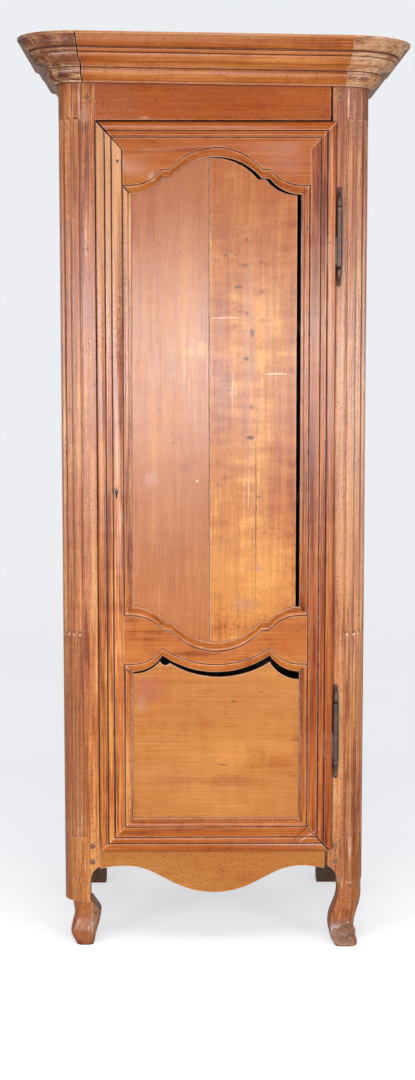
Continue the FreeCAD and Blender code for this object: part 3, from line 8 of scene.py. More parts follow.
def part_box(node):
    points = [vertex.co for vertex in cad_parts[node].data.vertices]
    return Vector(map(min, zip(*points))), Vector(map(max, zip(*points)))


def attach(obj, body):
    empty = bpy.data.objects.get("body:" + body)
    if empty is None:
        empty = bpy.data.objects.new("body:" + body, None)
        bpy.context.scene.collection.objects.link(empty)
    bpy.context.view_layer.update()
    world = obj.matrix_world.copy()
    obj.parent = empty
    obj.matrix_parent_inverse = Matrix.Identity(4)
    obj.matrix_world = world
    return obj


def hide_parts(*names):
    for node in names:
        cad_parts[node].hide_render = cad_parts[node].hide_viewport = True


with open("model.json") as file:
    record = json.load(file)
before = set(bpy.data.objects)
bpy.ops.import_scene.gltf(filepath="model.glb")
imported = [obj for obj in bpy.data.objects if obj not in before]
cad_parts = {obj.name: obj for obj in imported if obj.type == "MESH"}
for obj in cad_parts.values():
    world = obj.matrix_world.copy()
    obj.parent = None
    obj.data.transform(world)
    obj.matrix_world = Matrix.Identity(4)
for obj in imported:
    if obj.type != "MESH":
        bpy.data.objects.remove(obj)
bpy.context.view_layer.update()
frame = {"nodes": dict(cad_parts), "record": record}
print("frame loaded:", len(frame["nodes"]), "CAD nodes")

bodyOf = {node: body for body, nodes in frame["record"]["behaviour"]["bodies"].items() for node in nodes}


# small helpers for node trees
class NodeSheet:
    def __init__(self, owner):
        owner.use_nodes = True
        self.tree = owner.node_tree
        self.tree.nodes.clear()

    def feed(self, socket, value):
        if isinstance(value, bpy.types.NodeSocket):
            self.tree.links.new(value, socket)
        elif value is not None:
            socket.default_value = value

    def node(self, kind, sockets=(), **settings):
        item = self.tree.nodes.new("ShaderNode" + kind)
        for key, value in settings.items():
            setattr(item, key, value)
        for key, value in dict(sockets).items():
            self.feed(item.inputs[key], value)
        return item

    def math(self, operation, a, b=None, c=None, clamp=False):
        item = self.node("Math", {0: a}, operation=operation, use_clamp=clamp)
        self.feed(item.inputs[1], b)
        self.feed(item.inputs[2], c)
        return item.outputs[0]

    def vector(self, operation, a, b=None):
        item = self.node("VectorMath", {0: a}, operation=operation)
        self.feed(item.inputs[1], b)
        return item.outputs["Value" if operation in ("LENGTH", "DOT_PRODUCT") else "Vector"]

    def spread(self, value, low, high, start=0.0, end=1.0):
        # moves value from low..high to start..end, eased at both ends
        item = self.node("MapRange", {"Value": value, "From Min": low, "From Max": high,
                                      "To Min": start, "To Max": end}, interpolation_type="SMOOTHSTEP")
        return item.outputs["Result"]

    def mix(self, factor, a, b):
        item = self.node("Mix", data_type="RGBA")
        self.feed(item.inputs[0], factor)
        self.feed(item.inputs[6], a)
        self.feed(item.inputs[7], b)
        return item.outputs[2]

    def noise(self, vector, scale, detail, rough):
        return self.node("TexNoise", {"Vector": vector, "Scale": scale, "Detail": detail, "Roughness": rough})

    def ramp(self, factor, stops):
        item = self.node("ValToRGB", {"Fac": factor})
        item.color_ramp.interpolation = "EASE"
        while len(item.color_ramp.elements) < len(stops):
            item.color_ramp.elements.new(0.5)
        for element, (place, colour) in zip(item.color_ramp.elements, stops):
            element.position = place
            element.color = colour
        return item.outputs["Color"]

    def bump(self, height):
        # height is in metres
        return self.node("Bump", {"Strength": 1.0, "Distance": 1.0, "Height": height}).outputs["Normal"]

    def shelter(self, reach, samples):
        # 1 in the open, less in a hollow
        return self.node("AmbientOcclusion", {"Distance": reach}, samples=samples).outputs["AO"]

    def rounding(self, width, samples, normal):
        # 1 on flat ground, less towards an arris
        soft = self.node("Bevel", {"Radius": width}, samples=samples).outputs["Normal"]
        return self.vector("DOT_PRODUCT", soft, self.node("NewGeometry").outputs[normal])


def tint(red, green, blue):
    # a colour typed as 0-255 screen values, for the shader
    linear = [((c / 255 + 0.055) / 1.055) ** 2.4 if c > 10 else c / 255 / 12.92 for c in (red, green, blue)]
    return (*linear, 1.0)


quarter = math.radians(90)
grainTurns = {"x": (0.0, -quarter, 0.0), "y": (quarter, 0.0, 0.0), "z": (0.0, 0.0, 0.0)}

# noises drawn out along the grain: across, along, detail, roughness;
# the other noises below are written as scale, detail, roughness
grainSet = {
    "ringShake": (40.0, 6.0, 3.0, 0.55), "blotch": (8.0, 2.6, 4.0, 0.6), "streak": (70.0, 2.4, 4.0, 0.6),
    "line": (260.0, 6.0, 3.0, 0.6), "fibre": (800.0, 18.0, 3.0, 0.6), "mottle": (13.0, 42.0, 3.0, 0.55),
    "blush": (3.5, 1.7, 4.0, 0.6), "gold": (5.0, 2.2, 4.0, 0.6),
}
wanderSet = {"scale": (6.0, 6.0, 1.3), "detail": 2.0, "rough": 0.45, "reach": (0.03, 0.03, 0.0)}
seedStep = (1.7, 0.9, 3.1)
ringSet = {"shake": 1.6, "sharp": 4.0}
toneSet = {"middle": 0.52, "line": 0.6, "stops": (0.05, 0.5, 0.95), "redder": (-0.05, 0.14), "golden": (0.02, 0.18)}
markSet = {"shake": (26.0, 4.0, 0.65), "shift": (0.006, 0.0, 0.006), "ragged": (150.0, 3.0, 0.6), "edge": 1.6,
           "from": 0.45, "to": 1.3, "through": 1000.0}
wormSet = {"cells": 62.0, "size": (0.05, 0.1), "crowd": 1.2, "share": (0.7, 0.74)}
poreSet = {"cells": (210.0, 210.0, 40.0), "size": (0.08, 0.22), "depth": 0.35}
pitSet = {"cells": 150.0, "size": (0.12, 0.3), "depth": 0.85, "share": (0.62, 0.7), "colour": tint(84, 36, 18)}
# ranges for painted shade in hollows and corners, and for pale arrises that are partly painted highlight
wearAndShadeSet = {"hollowReach": 0.03, "hollow": (0.4, 0.9), "hollowSamples": 6, "patchiness": (42.0, 4.0, 0.6), "uneven": 0.3,
           "dirtAndShade": (0.38, 0.84), "dirtAndShadeSamples": 8, "arris": (0.996, 0.95), "arrisSamples": 6,
           "patches": (0.34, 0.56), "least": 0.35}
reliefSet = {"waves": (20.0, 20.0, 4.0), "waveGain": 4.0, "streak": 0.0002, "line": 0.00008, "fibre": 0.00003,
             "hole": -0.0008}
glossSet = {"blotch": 0.18, "line": 0.25, "dull": (0.5, 0.92), "dullest": 0.6, "ior": 1.5}

woodDefaults = {
    "along": "z", "seed": 0.0,
    "deep": tint(150, 72, 26), "mid": tint(184, 102, 44), "pale": tint(208, 134, 70),
    "blush": tint(168, 92, 54), "blushAmount": 0.5, "gold": tint(208, 136, 60), "goldAmount": 0.35,
    "heart": (0.02, 0.12), "ringStep": 0.0034, "ringDark": 0.12, "ringTone": 0.12, "tilt": 0.015,
    "blotch": 1.3, "streak": 1.5, "fibre": 0.5, "mottle": 0.5, "specks": 0.75, "marks": (),
    # painted shade in the hollows, partly polish
    "hollow": tint(122, 54, 22), "hollowAmount": 0.5,
    # painted shade in corners, creases and joints, partly wax dirt
    "dirtAndShade": tint(90, 24, 2), "dirtAndShadeReach": 0.0065, "dirtAndShadeAmount": 0.96,
    # pale arrises, partly rubbed wear and partly painted highlight
    "wear": tint(240, 196, 160), "wearAndHighlightWidth": 0.0022, "wearAmount": 0.85, "wearShade": (0.52, 0.82),
    "gloss": 0.26, "shine": 0.3, "waves": 0.0001,
}


def makeWood(name, **changes):
    look = dict(woodDefaults, **changes)
    material = bpy.data.materials.new(name)
    f = NodeSheet(material)
    place = f.node("TexCoord").outputs["Object"]
    turn = f.node("Mapping", {"Vector": place, "Rotation": grainTurns[look["along"]]}).outputs["Vector"]
    seeded = f.vector("ADD", turn, [look["seed"] * step for step in seedStep])

    def centred(value):
        return f.math("SUBTRACT", value, 0.5)

    def jitter(noise, reach):
        return f.vector("MULTIPLY", f.vector("SUBTRACT", noise.outputs["Color"], (0.5, 0.5, 0.5)), reach)

    def grain(kind):
        across, along, detail, rough = grainSet[kind]
        drawn = f.vector("MULTIPLY", seeded, (across, across, along))
        return centred(f.noise(drawn, 1.0, detail, rough).outputs["Fac"])

    # year rings round the heart of the log, wandering slowly
    slow = f.noise(f.vector("MULTIPLY", seeded, wanderSet["scale"]), 1.0, wanderSet["detail"], wanderSet["rough"])
    split = f.node("SeparateXYZ", {"Vector": f.vector("ADD", turn, jitter(slow, wanderSet["reach"]))})
    leaned = f.math("MULTIPLY_ADD", split.outputs["Z"], look["tilt"], split.outputs["Y"])
    around = f.node("CombineXYZ", {"X": f.math("SUBTRACT", split.outputs["X"], look["heart"][0]),
                                   "Y": f.math("ADD", leaned, look["heart"][1])})
    rings = f.math("DIVIDE", f.vector("LENGTH", around.outputs["Vector"]), look["ringStep"])
    rings = f.math("MULTIPLY_ADD", grain("ringShake"), ringSet["shake"], rings)
    ringLine = f.math("POWER", f.math("FRACT", rings), ringSet["sharp"])
    ringTone = f.node("TexWhiteNoise", {"W": f.math("FLOOR", rings)}, noise_dimensions="1D").outputs["Value"]

    # tone of the wood, then its redder and golden clouds
    blotches, streaks, lines, fibres = [grain(kind) for kind in ("blotch", "streak", "line", "fibre")]
    tone = toneSet["middle"]
    for part, amount in ((blotches, look["blotch"]), (streaks, look["streak"]),
                         (lines, look["streak"] * toneSet["line"]), (fibres, look["fibre"]),
                         (grain("mottle"), look["mottle"]), (centred(ringTone), look["ringTone"]),
                         (ringLine, -look["ringDark"])):
        tone = f.math("MULTIPLY_ADD", part, amount, tone)
    colour = f.ramp(tone, list(zip(toneSet["stops"], (look["deep"], look["mid"], look["pale"]))))
    redder = f.spread(grain("blush"), *toneSet["redder"], 0.0, look["blushAmount"])
    colour = f.mix(redder, colour, look["blush"])
    golden = f.spread(grain("gold"), *toneSet["golden"], 0.0, look["goldAmount"])
    colour = f.mix(golden, colour, look["gold"])

    # single places that are stained, cracked, bleached or knotty, and some painted shade and painted highlights:
    # x, z, half width, half height, colour, amount and, if it leans, by how much
    if look["marks"]:
        shaken = f.vector("ADD", place, jitter(f.noise(place, *markSet["shake"]), markSet["shift"]))
        ragged = centred(f.noise(place, *markSet["ragged"]).outputs["Fac"])
        for x, z, wide, tall, markColour, amount, *lean in look["marks"]:
            own = f.node("Mapping", {"Vector": shaken, "Location": (x, 0.0, z),
                                     "Scale": (wide, markSet["through"], tall),
                                     "Rotation": (0.0, lean[0] if lean else 0.0, 0.0)}, vector_type="TEXTURE")
            reach = f.math("MULTIPLY_ADD", ragged, markSet["edge"], f.vector("LENGTH", own.outputs["Vector"]))
            colour = f.mix(f.spread(reach, markSet["from"], markSet["to"], amount, 0.0), colour, markColour)

    def cells(vector, scale):
        found = f.node("TexVoronoi", {"Vector": vector, "Scale": scale, "Randomness": 1.0})
        return found.outputs["Distance"], f.node("SeparateColor", {"Color": found.outputs["Color"]})

    # worm holes in loose clusters, short dark pores and small pits
    distance, chance = cells(seeded, wormSet["cells"])
    picked = f.math("MULTIPLY_ADD", blotches, wormSet["crowd"], chance.outputs["Red"])
    holes = f.math("MULTIPLY", f.spread(distance, *wormSet["size"], 1.0, 0.0), f.spread(picked, *wormSet["share"]))
    holes = f.math("MULTIPLY", holes, look["specks"])
    pores = f.node("TexVoronoi", {"Vector": f.vector("MULTIPLY", seeded, poreSet["cells"]), "Scale": 1.0})
    pore = f.spread(pores.outputs["Distance"], *poreSet["size"], poreSet["depth"], 0.0)
    distance, chance = cells(seeded, pitSet["cells"])
    pit = f.math("MULTIPLY", f.spread(distance, *pitSet["size"], pitSet["depth"], 0.0),
                 f.spread(chance.outputs["Green"], *pitSet["share"]))
    colour = f.mix(f.math("MAXIMUM", f.math("MAXIMUM", holes, pore), pit), colour, pitSet["colour"])

    # red-brown in the hollows, partly polish and partly painted shade; dark in corners and creases, partly wax and
    # partly painted shade; pale along arrises, partly rubbed wear and partly painted highlight
    # painted shade: far-reaching occlusion darkens hollows and places under overhangs, partly polish build-up
    hollow = f.shelter(wearAndShadeSet["hollowReach"], wearAndShadeSet["hollowSamples"])
    colour = f.mix(f.spread(hollow, *wearAndShadeSet["hollow"], look["hollowAmount"], 0.0), colour, look["hollow"])
    # painted shade: near occlusion, made patchy, darkens corners, creases and joints, partly wax dirt
    shade = f.shelter(look["dirtAndShadeReach"], wearAndShadeSet["dirtAndShadeSamples"])
    patchiness = f.noise(seeded, *wearAndShadeSet["patchiness"]).outputs["Fac"]
    shaded = f.math("MULTIPLY_ADD", centred(patchiness), wearAndShadeSet["uneven"], shade)
    colour = f.mix(f.spread(shaded, *wearAndShadeSet["dirtAndShade"], look["dirtAndShadeAmount"], 0.0), colour, look["dirtAndShade"])
    # painted highlight: pale colour along arrises, partly real rubbed wear
    arris = f.spread(f.rounding(look["wearAndHighlightWidth"], wearAndShadeSet["arrisSamples"], "Normal"), *wearAndShadeSet["arris"])
    rubbed = f.math("MULTIPLY", arris, f.spread(shade, *look["wearShade"]))
    rubbed = f.math("MULTIPLY", rubbed, f.spread(patchiness, *wearAndShadeSet["patches"], wearAndShadeSet["least"], 1.0))
    colour = f.mix(f.math("MULTIPLY", rubbed, look["wearAmount"]), colour, look["wear"])

    # relief in metres: plane waves, grain and holes
    wave = f.noise(f.vector("MULTIPLY", seeded, reliefSet["waves"]), 1.0, 2.0, 0.5).outputs["Fac"]
    height = f.math("MULTIPLY", wave, look["waves"] * reliefSet["waveGain"])
    for part, kind in ((streaks, "streak"), (lines, "line"), (fibres, "fibre"), (holes, "hole")):
        height = f.math("MULTIPLY_ADD", part, reliefSet[kind], height)
    roughness = f.math("MULTIPLY_ADD", blotches, glossSet["blotch"], look["gloss"])
    roughness = f.math("MULTIPLY_ADD", lines, glossSet["line"], roughness)
    dulled = f.spread(shaded, *glossSet["dull"], glossSet["dullest"], 0.0)
    roughness = f.math("ADD", roughness, dulled, clamp=True)
    shader = f.node("BsdfPrincipled", {"Base Color": colour, "Roughness": roughness, "IOR": glossSet["ior"],
                                       "Specular IOR Level": look["shine"], "Normal": f.bump(height)})
    f.node("OutputMaterial", {"Surface": shader.outputs["BSDF"]})
    return material


ironSet = {"broad": (60.0, 4.0, 0.6), "fine": (900.0, 3.0, 0.6), "rusty": (0.4, 0.65), "edge": 0.0008,
           "edgeSamples": 4, "arris": (0.99, 0.9), "rubbed": 0.5, "bright": tint(120, 112, 106),
           "fineRelief": 0.00008, "broadRelief": 0.0003, "uneven": 0.5, "metal": 0.75}


def makeIron(name, base, rust, gloss):
    material = bpy.data.materials.new(name)
    f = NodeSheet(material)
    place = f.node("TexCoord").outputs["Object"]
    broad = f.noise(place, *ironSet["broad"]).outputs["Fac"]
    fine = f.noise(place, *ironSet["fine"]).outputs["Fac"]
    colour = f.mix(f.spread(broad, *ironSet["rusty"]), base, rust)
    arris = f.rounding(ironSet["edge"], ironSet["edgeSamples"], "True Normal")
    colour = f.mix(f.spread(arris, *ironSet["arris"], 0.0, ironSet["rubbed"]), colour, ironSet["bright"])
    height = f.math("MULTIPLY_ADD", fine, ironSet["fineRelief"], f.math("MULTIPLY", broad, ironSet["broadRelief"]))
    roughness = f.math("MULTIPLY_ADD", f.math("SUBTRACT", broad, 0.5), ironSet["uneven"], gloss)
    shader = f.node("BsdfPrincipled", {"Base Color": colour, "Roughness": roughness, "Metallic": ironSet["metal"],
                                       "Normal": f.bump(height)})
    f.node("OutputMaterial", {"Surface": shader.outputs["BSDF"]})
    return material


# colours of the marks
ink = tint(84, 38, 24)
soot = tint(30, 12, 6)
umber = tint(160, 84, 42)
chalk = tint(252, 222, 196)
lilac = tint(196, 136, 112)

# looks that several pieces share
postLook = {"deep": tint(120, 52, 18), "mid": tint(194, 114, 56), "pale": tint(230, 164, 98),
            "blush": tint(168, 86, 44), "streak": 2.6, "mottle": 0.4, "gloss": 0.3, "wearAmount": 0.6}
stileLook = {"deep": tint(124, 50, 14), "mid": tint(186, 100, 38), "pale": tint(218, 140, 66),
             "blush": tint(170, 84, 38), "streak": 2.6, "mottle": 0.4}
railLook = {"along": "x", "shine": 0.2, "deep": tint(130, 54, 14), "mid": tint(182, 96, 34),
            "pale": tint(206, 126, 56), "blush": tint(172, 88, 40)}
# paler, wider colour along the panels' edges: partly rubbed wear and partly painted highlight
panelEdgeWearAndHighlight = {"wear": tint(242, 218, 198), "wearAndHighlightWidth": 0.0028, "wearShade": (0.05, 0.3)}
# dark colours painted as the shade inside the closed cabinet; the back posts share them
insideShadeLook = {"deep": tint(58, 38, 24), "mid": tint(92, 64, 42), "pale": tint(122, 90, 62),
              "blush": tint(80, 56, 40), "gold": tint(108, 78, 50), "gloss": 0.6, "wearAmount": 0.3}

# marks of each piece
panelRightMarks = (
    # the first mark darkens the top of the panel: painted shade
    (0.07, 1.78, 0.14, 0.24, tint(166, 84, 34), 0.65), (0.06, 0.87, 0.13, 0.12, tint(234, 162, 84), 0.45),
    (0.078, 1.35, 0.016, 0.26, lilac, 0.4), (0.085, 1.354, 0.006, 0.05, tint(170, 116, 104), 0.5),
    (0.024, 1.483, 0.036, 0.005, umber, 0.5), (0.048, 1.432, 0.017, 0.005, umber, 0.45),
    (0.116, 1.443, 0.019, 0.007, umber, 0.45), (0.128, 1.336, 0.021, 0.008, umber, 0.4),
    (0.03, 1.308, 0.013, 0.0035, ink, 0.45), (0.029, 1.298, 0.014, 0.0035, ink, 0.4),
    (0.032, 1.288, 0.011, 0.003, ink, 0.4), (0.026, 1.273, 0.018, 0.009, umber, 0.5),
    (0.026, 1.202, 0.017, 0.003, umber, 0.5), (0.009, 1.126, 0.008, 0.006, umber, 0.5),
    (0.04, 1.62, 0.03, 0.05, umber, 0.3), (0.01, 1.66, 0.03, 0.05, umber, 0.3),
    (0.02, 1.42, 0.05, 0.03, umber, 0.2), (0.13, 1.5, 0.03, 0.03, umber, 0.25),
    (0.03, 0.93, 0.04, 0.03, umber, 0.3), (0.07, 0.8, 0.03, 0.016, lilac, 0.4),
    (0.024, 1.4494, 0.036, 0.0016, chalk, 0.6), (0.141, 1.3244, 0.03, 0.0018, chalk, 0.6),
    (0.041, 1.284, 0.0014, 0.046, chalk, 0.5), (0.078, 1.06, 0.002, 0.05, chalk, 0.35),
    (0.0544, 1.5185, 0.008, 0.005, ink, 0.75), (0.1057, 1.5066, 0.005, 0.003, ink, 0.6),
    (0.0727, 1.459, 0.005, 0.006, ink, 0.6), (0.06, 1.463, 0.01, 0.004, ink, 0.35),
    (0.0856, 1.4165, 0.006, 0.010, tint(104, 62, 54), 0.75), (0.0719, 1.3581, 0.006, 0.005, ink, 0.8),
    (0.0844, 1.2502, 0.005, 0.006, ink, 0.6), (0.0812, 1.181, 0.009, 0.005, ink, 0.85),
    (0.012, 1.074, 0.009, 0.007, ink, 0.4), (0.0993, 1.047, 0.006, 0.003, ink, 0.55),
    (0.0684, 1.567, 0.007, 0.004, ink, 0.6), (0.1063, 1.574, 0.006, 0.004, ink, 0.5),
    (0.0727, 1.622, 0.004, 0.007, ink, 0.5), (0.024, 1.589, 0.007, 0.004, ink, 0.5),
    (0.0945, 1.01, 0.0014, 0.21, ink, 0.75), (0.1, 0.885, 0.008, 0.012, lilac, 0.5),
)
panelLeftMarks = (
    # the first mark darkens the top of the panel: painted shade
    (-0.1, 1.78, 0.14, 0.24, tint(170, 92, 44), 0.5),
    (-0.1019, 1.336, 0.009, 0.009, tint(150, 100, 80), 0.5), (-0.066, 1.287, 0.0013, 0.024, ink, 0.6),
    (-0.0277, 1.38, 0.012, 0.018, tint(222, 150, 62), 0.6), (-0.0592, 1.3735, 0.013, 0.008, tint(222, 150, 62), 0.6),
    (-0.144, 1.0875, 0.018, 0.02, lilac, 0.6), (-0.064, 1.112, 0.018, 0.012, umber, 0.5),
    (-0.0383, 1.082, 0.0028, 0.0028, chalk, 0.9), (-0.124, 1.615, 0.012, 0.0012, ink, 0.5),
    (-0.135, 1.625, 0.0012, 0.012, ink, 0.4), (-0.11, 0.93, 0.05, 0.05, umber, 0.3),
    (-0.06, 1.45, 0.03, 0.2, tint(220, 146, 78), 0.3),
)
panelLowerMarks = (
    (-0.1514, 0.602, 0.035, 0.03, tint(184, 104, 78), 0.6), (-0.168, 0.57, 0.012, 0.02, lilac, 0.5),
    (0.0447, 0.575, 0.006, 0.002, ink, 0.7), (-0.016, 0.6007, 0.02, 0.0012, ink, 0.45),
    (0.0185, 0.4274, 0.013, 0.0024, ink, 0.8), (0.109, 0.597, 0.006, 0.0018, ink, 0.5),
    (0.044, 0.389, 0.075, 0.015, umber, 0.45), (-0.09, 0.392, 0.06, 0.012, umber, 0.35),
    (-0.122, 0.4817, 0.066, 0.0011, ink, 0.5), (0.185, 0.485, 0.012, 0.0012, ink, 0.6),
    (0.185, 0.4, 0.012, 0.0012, ink, 0.6), (0.04, 0.455, 0.05, 0.04, tint(224, 150, 76), 0.5),
    (0.15, 0.46, 0.04, 0.02, tint(224, 150, 76), 0.4),
)
friezeMarks = (
    (-0.152, 1.889, 0.012, 0.004, tint(206, 156, 124), 0.45), (-0.24, 1.93, 0.08, 0.06, tint(170, 96, 58), 0.5),
    (0.24, 1.9, 0.06, 0.03, tint(160, 78, 28), 0.4),
)
# painted highlight: a paler band along the top of the cornice
corniceTopHighlight = ((-0.02, 2.056, 0.4, 0.011, tint(206, 148, 102), 0.6),)
lockSideMarks = (
    (-0.2415, 1.8591, 0.03, 0.0022, soot, 0.95, 0.808), (-0.2155, 1.794, 0.0034, 0.0034, soot, 0.95),
    (-0.197, 1.7333, 0.012, 0.0022, soot, 0.95, 0.82), (-0.2, 0.6505, 0.013, 0.0016, soot, 0.9, 0.67),
    (-0.1555, 1.8152, 0.052, 0.0009, ink, 0.6), (-0.139, 1.7615, 0.008, 0.012, tint(190, 150, 120), 0.7),
    (-0.2242, 1.0625, 0.010, 0.005, soot, 0.8), (-0.246, 0.636, 0.0016, 0.0016, chalk, 0.9),
    (-0.205, 0.656, 0.002, 0.003, ink, 0.8),
)
stilePatch = ((-0.238, 1.68, 0.06, 0.3, tint(212, 158, 118), 0.6),)
railPatch = ((0.19, 0.72, 0.05, 0.05, tint(184, 96, 36), 0.5),)
hingeSideMarks = (
    (0.2044, 0.792, 0.012, 0.0014, ink, 0.8, -0.8), (0.2031, 0.273, 0.05, 0.0014, ink, 0.75, -0.815),
    (0.208, 1.646, 0.003, 0.006, ink, 0.75), (0.216, 0.262, 0.03, 0.0012, chalk, 0.5, -0.6),
    (0.2, 0.672, 0.016, 0.0012, tint(150, 112, 96), 0.6),
)

# on both posts: dark lines along the fillets between the flutes, partly dirt and partly painted shade; painted
# highlights on the tips of the reeds, and painted shadow where the flutes end just above them
reedTips = (0.3306, 0.3194, 0.305)
filletPlaces = (0.295, 0.3149, 0.3318, 0.343)
rowSet = {"shift": -0.0011, "reedTipHighlightHeight": 0.7305, "fluteEndShadowHeight": 0.7385, "fluteEndShadow": tint(128, 96, 84),
          "filletHeight": 1.32, "filletDirtAndShade": tint(96, 44, 20)}


def postShadeAndHighlightRows(side):
    tips = [side * place + rowSet["shift"] for place in reedTips]
    fillets = [side * place + rowSet["shift"] for place in filletPlaces]
    return (tuple((x, rowSet["filletHeight"], 0.0019, 0.62, rowSet["filletDirtAndShade"], 0.85) for x in fillets)
            # the pale dots on the reed tips are painted highlights
            + tuple((x, rowSet["reedTipHighlightHeight"], 0.0026, 0.0026, chalk, 0.9) for x in tips)
            # the greyish bars above the reed tips are painted shadow
            + tuple((x, rowSet["fluteEndShadowHeight"], 0.0062, 0.0016, rowSet["fluteEndShadow"], 0.75) for x in tips))


footMarks = (
    (-0.274, 0.05, 0.02, 0.06, tint(150, 114, 90), 0.75), (-0.3, 0.08, 0.022, 0.03, tint(190, 118, 66), 0.5),
    (-0.284, 0.055, 0.0012, 0.045, tint(220, 176, 140), 0.5), (-0.276, 0.075, 0.003, 0.003, ink, 0.8),
    (-0.3, 0.028, 0.012, 0.012, tint(150, 80, 44), 0.5), (-0.292, 0.04, 0.0016, 0.006, chalk, 0.6),
)
postLeftMarks = postShadeAndHighlightRows(-1) + (
    (-0.3143, 0.156, 0.0016, 0.009, ink, 0.85), (-0.3098, 0.134, 0.0016, 0.008, ink, 0.8),
    (-0.3165, 0.16, 0.001, 0.008, chalk, 0.6), (-0.299, 0.19, 0.0012, 0.02, chalk, 0.4),
    (-0.285, 1.895, 0.011, 0.02, tint(178, 130, 102), 0.7),
    (-0.289, 1.867, 0.014, 0.007, tint(120, 72, 56), 0.6), (-0.2835, 1.603, 0.0016, 0.005, ink, 0.95),
    (-0.292, 1.603, 0.0012, 0.004, ink, 0.8), (-0.2875, 1.62, 0.0012, 0.05, chalk, 0.5),
    (-0.33, 0.35, 0.035, 0.45, tint(150, 82, 44), 0.55), (-0.33, 1.64, 0.01, 0.03, tint(150, 96, 84), 0.5),
    (-0.292, 0.62, 0.0016, 0.03, ink, 0.6),
)
postRightMarks = postShadeAndHighlightRows(1) + (
    (0.3, 1.9, 0.06, 0.08, tint(146, 80, 56), 0.65), (0.31, 0.15, 0.05, 0.14, tint(150, 78, 34), 0.6),
    (0.285, 0.022, 0.06, 0.036, tint(142, 108, 92), 0.8), (0.285, 1.1, 0.012, 0.3, tint(206, 140, 92), 0.4),
    (0.325, 1.0, 0.03, 0.36, tint(226, 166, 122), 0.4), (0.3155, 0.138, 0.0018, 0.008, ink, 0.8),
    (0.283, 0.56, 0.002, 0.02, ink, 0.6), (0.3, 0.9, 0.012, 0.1, tint(216, 150, 96), 0.4),
)

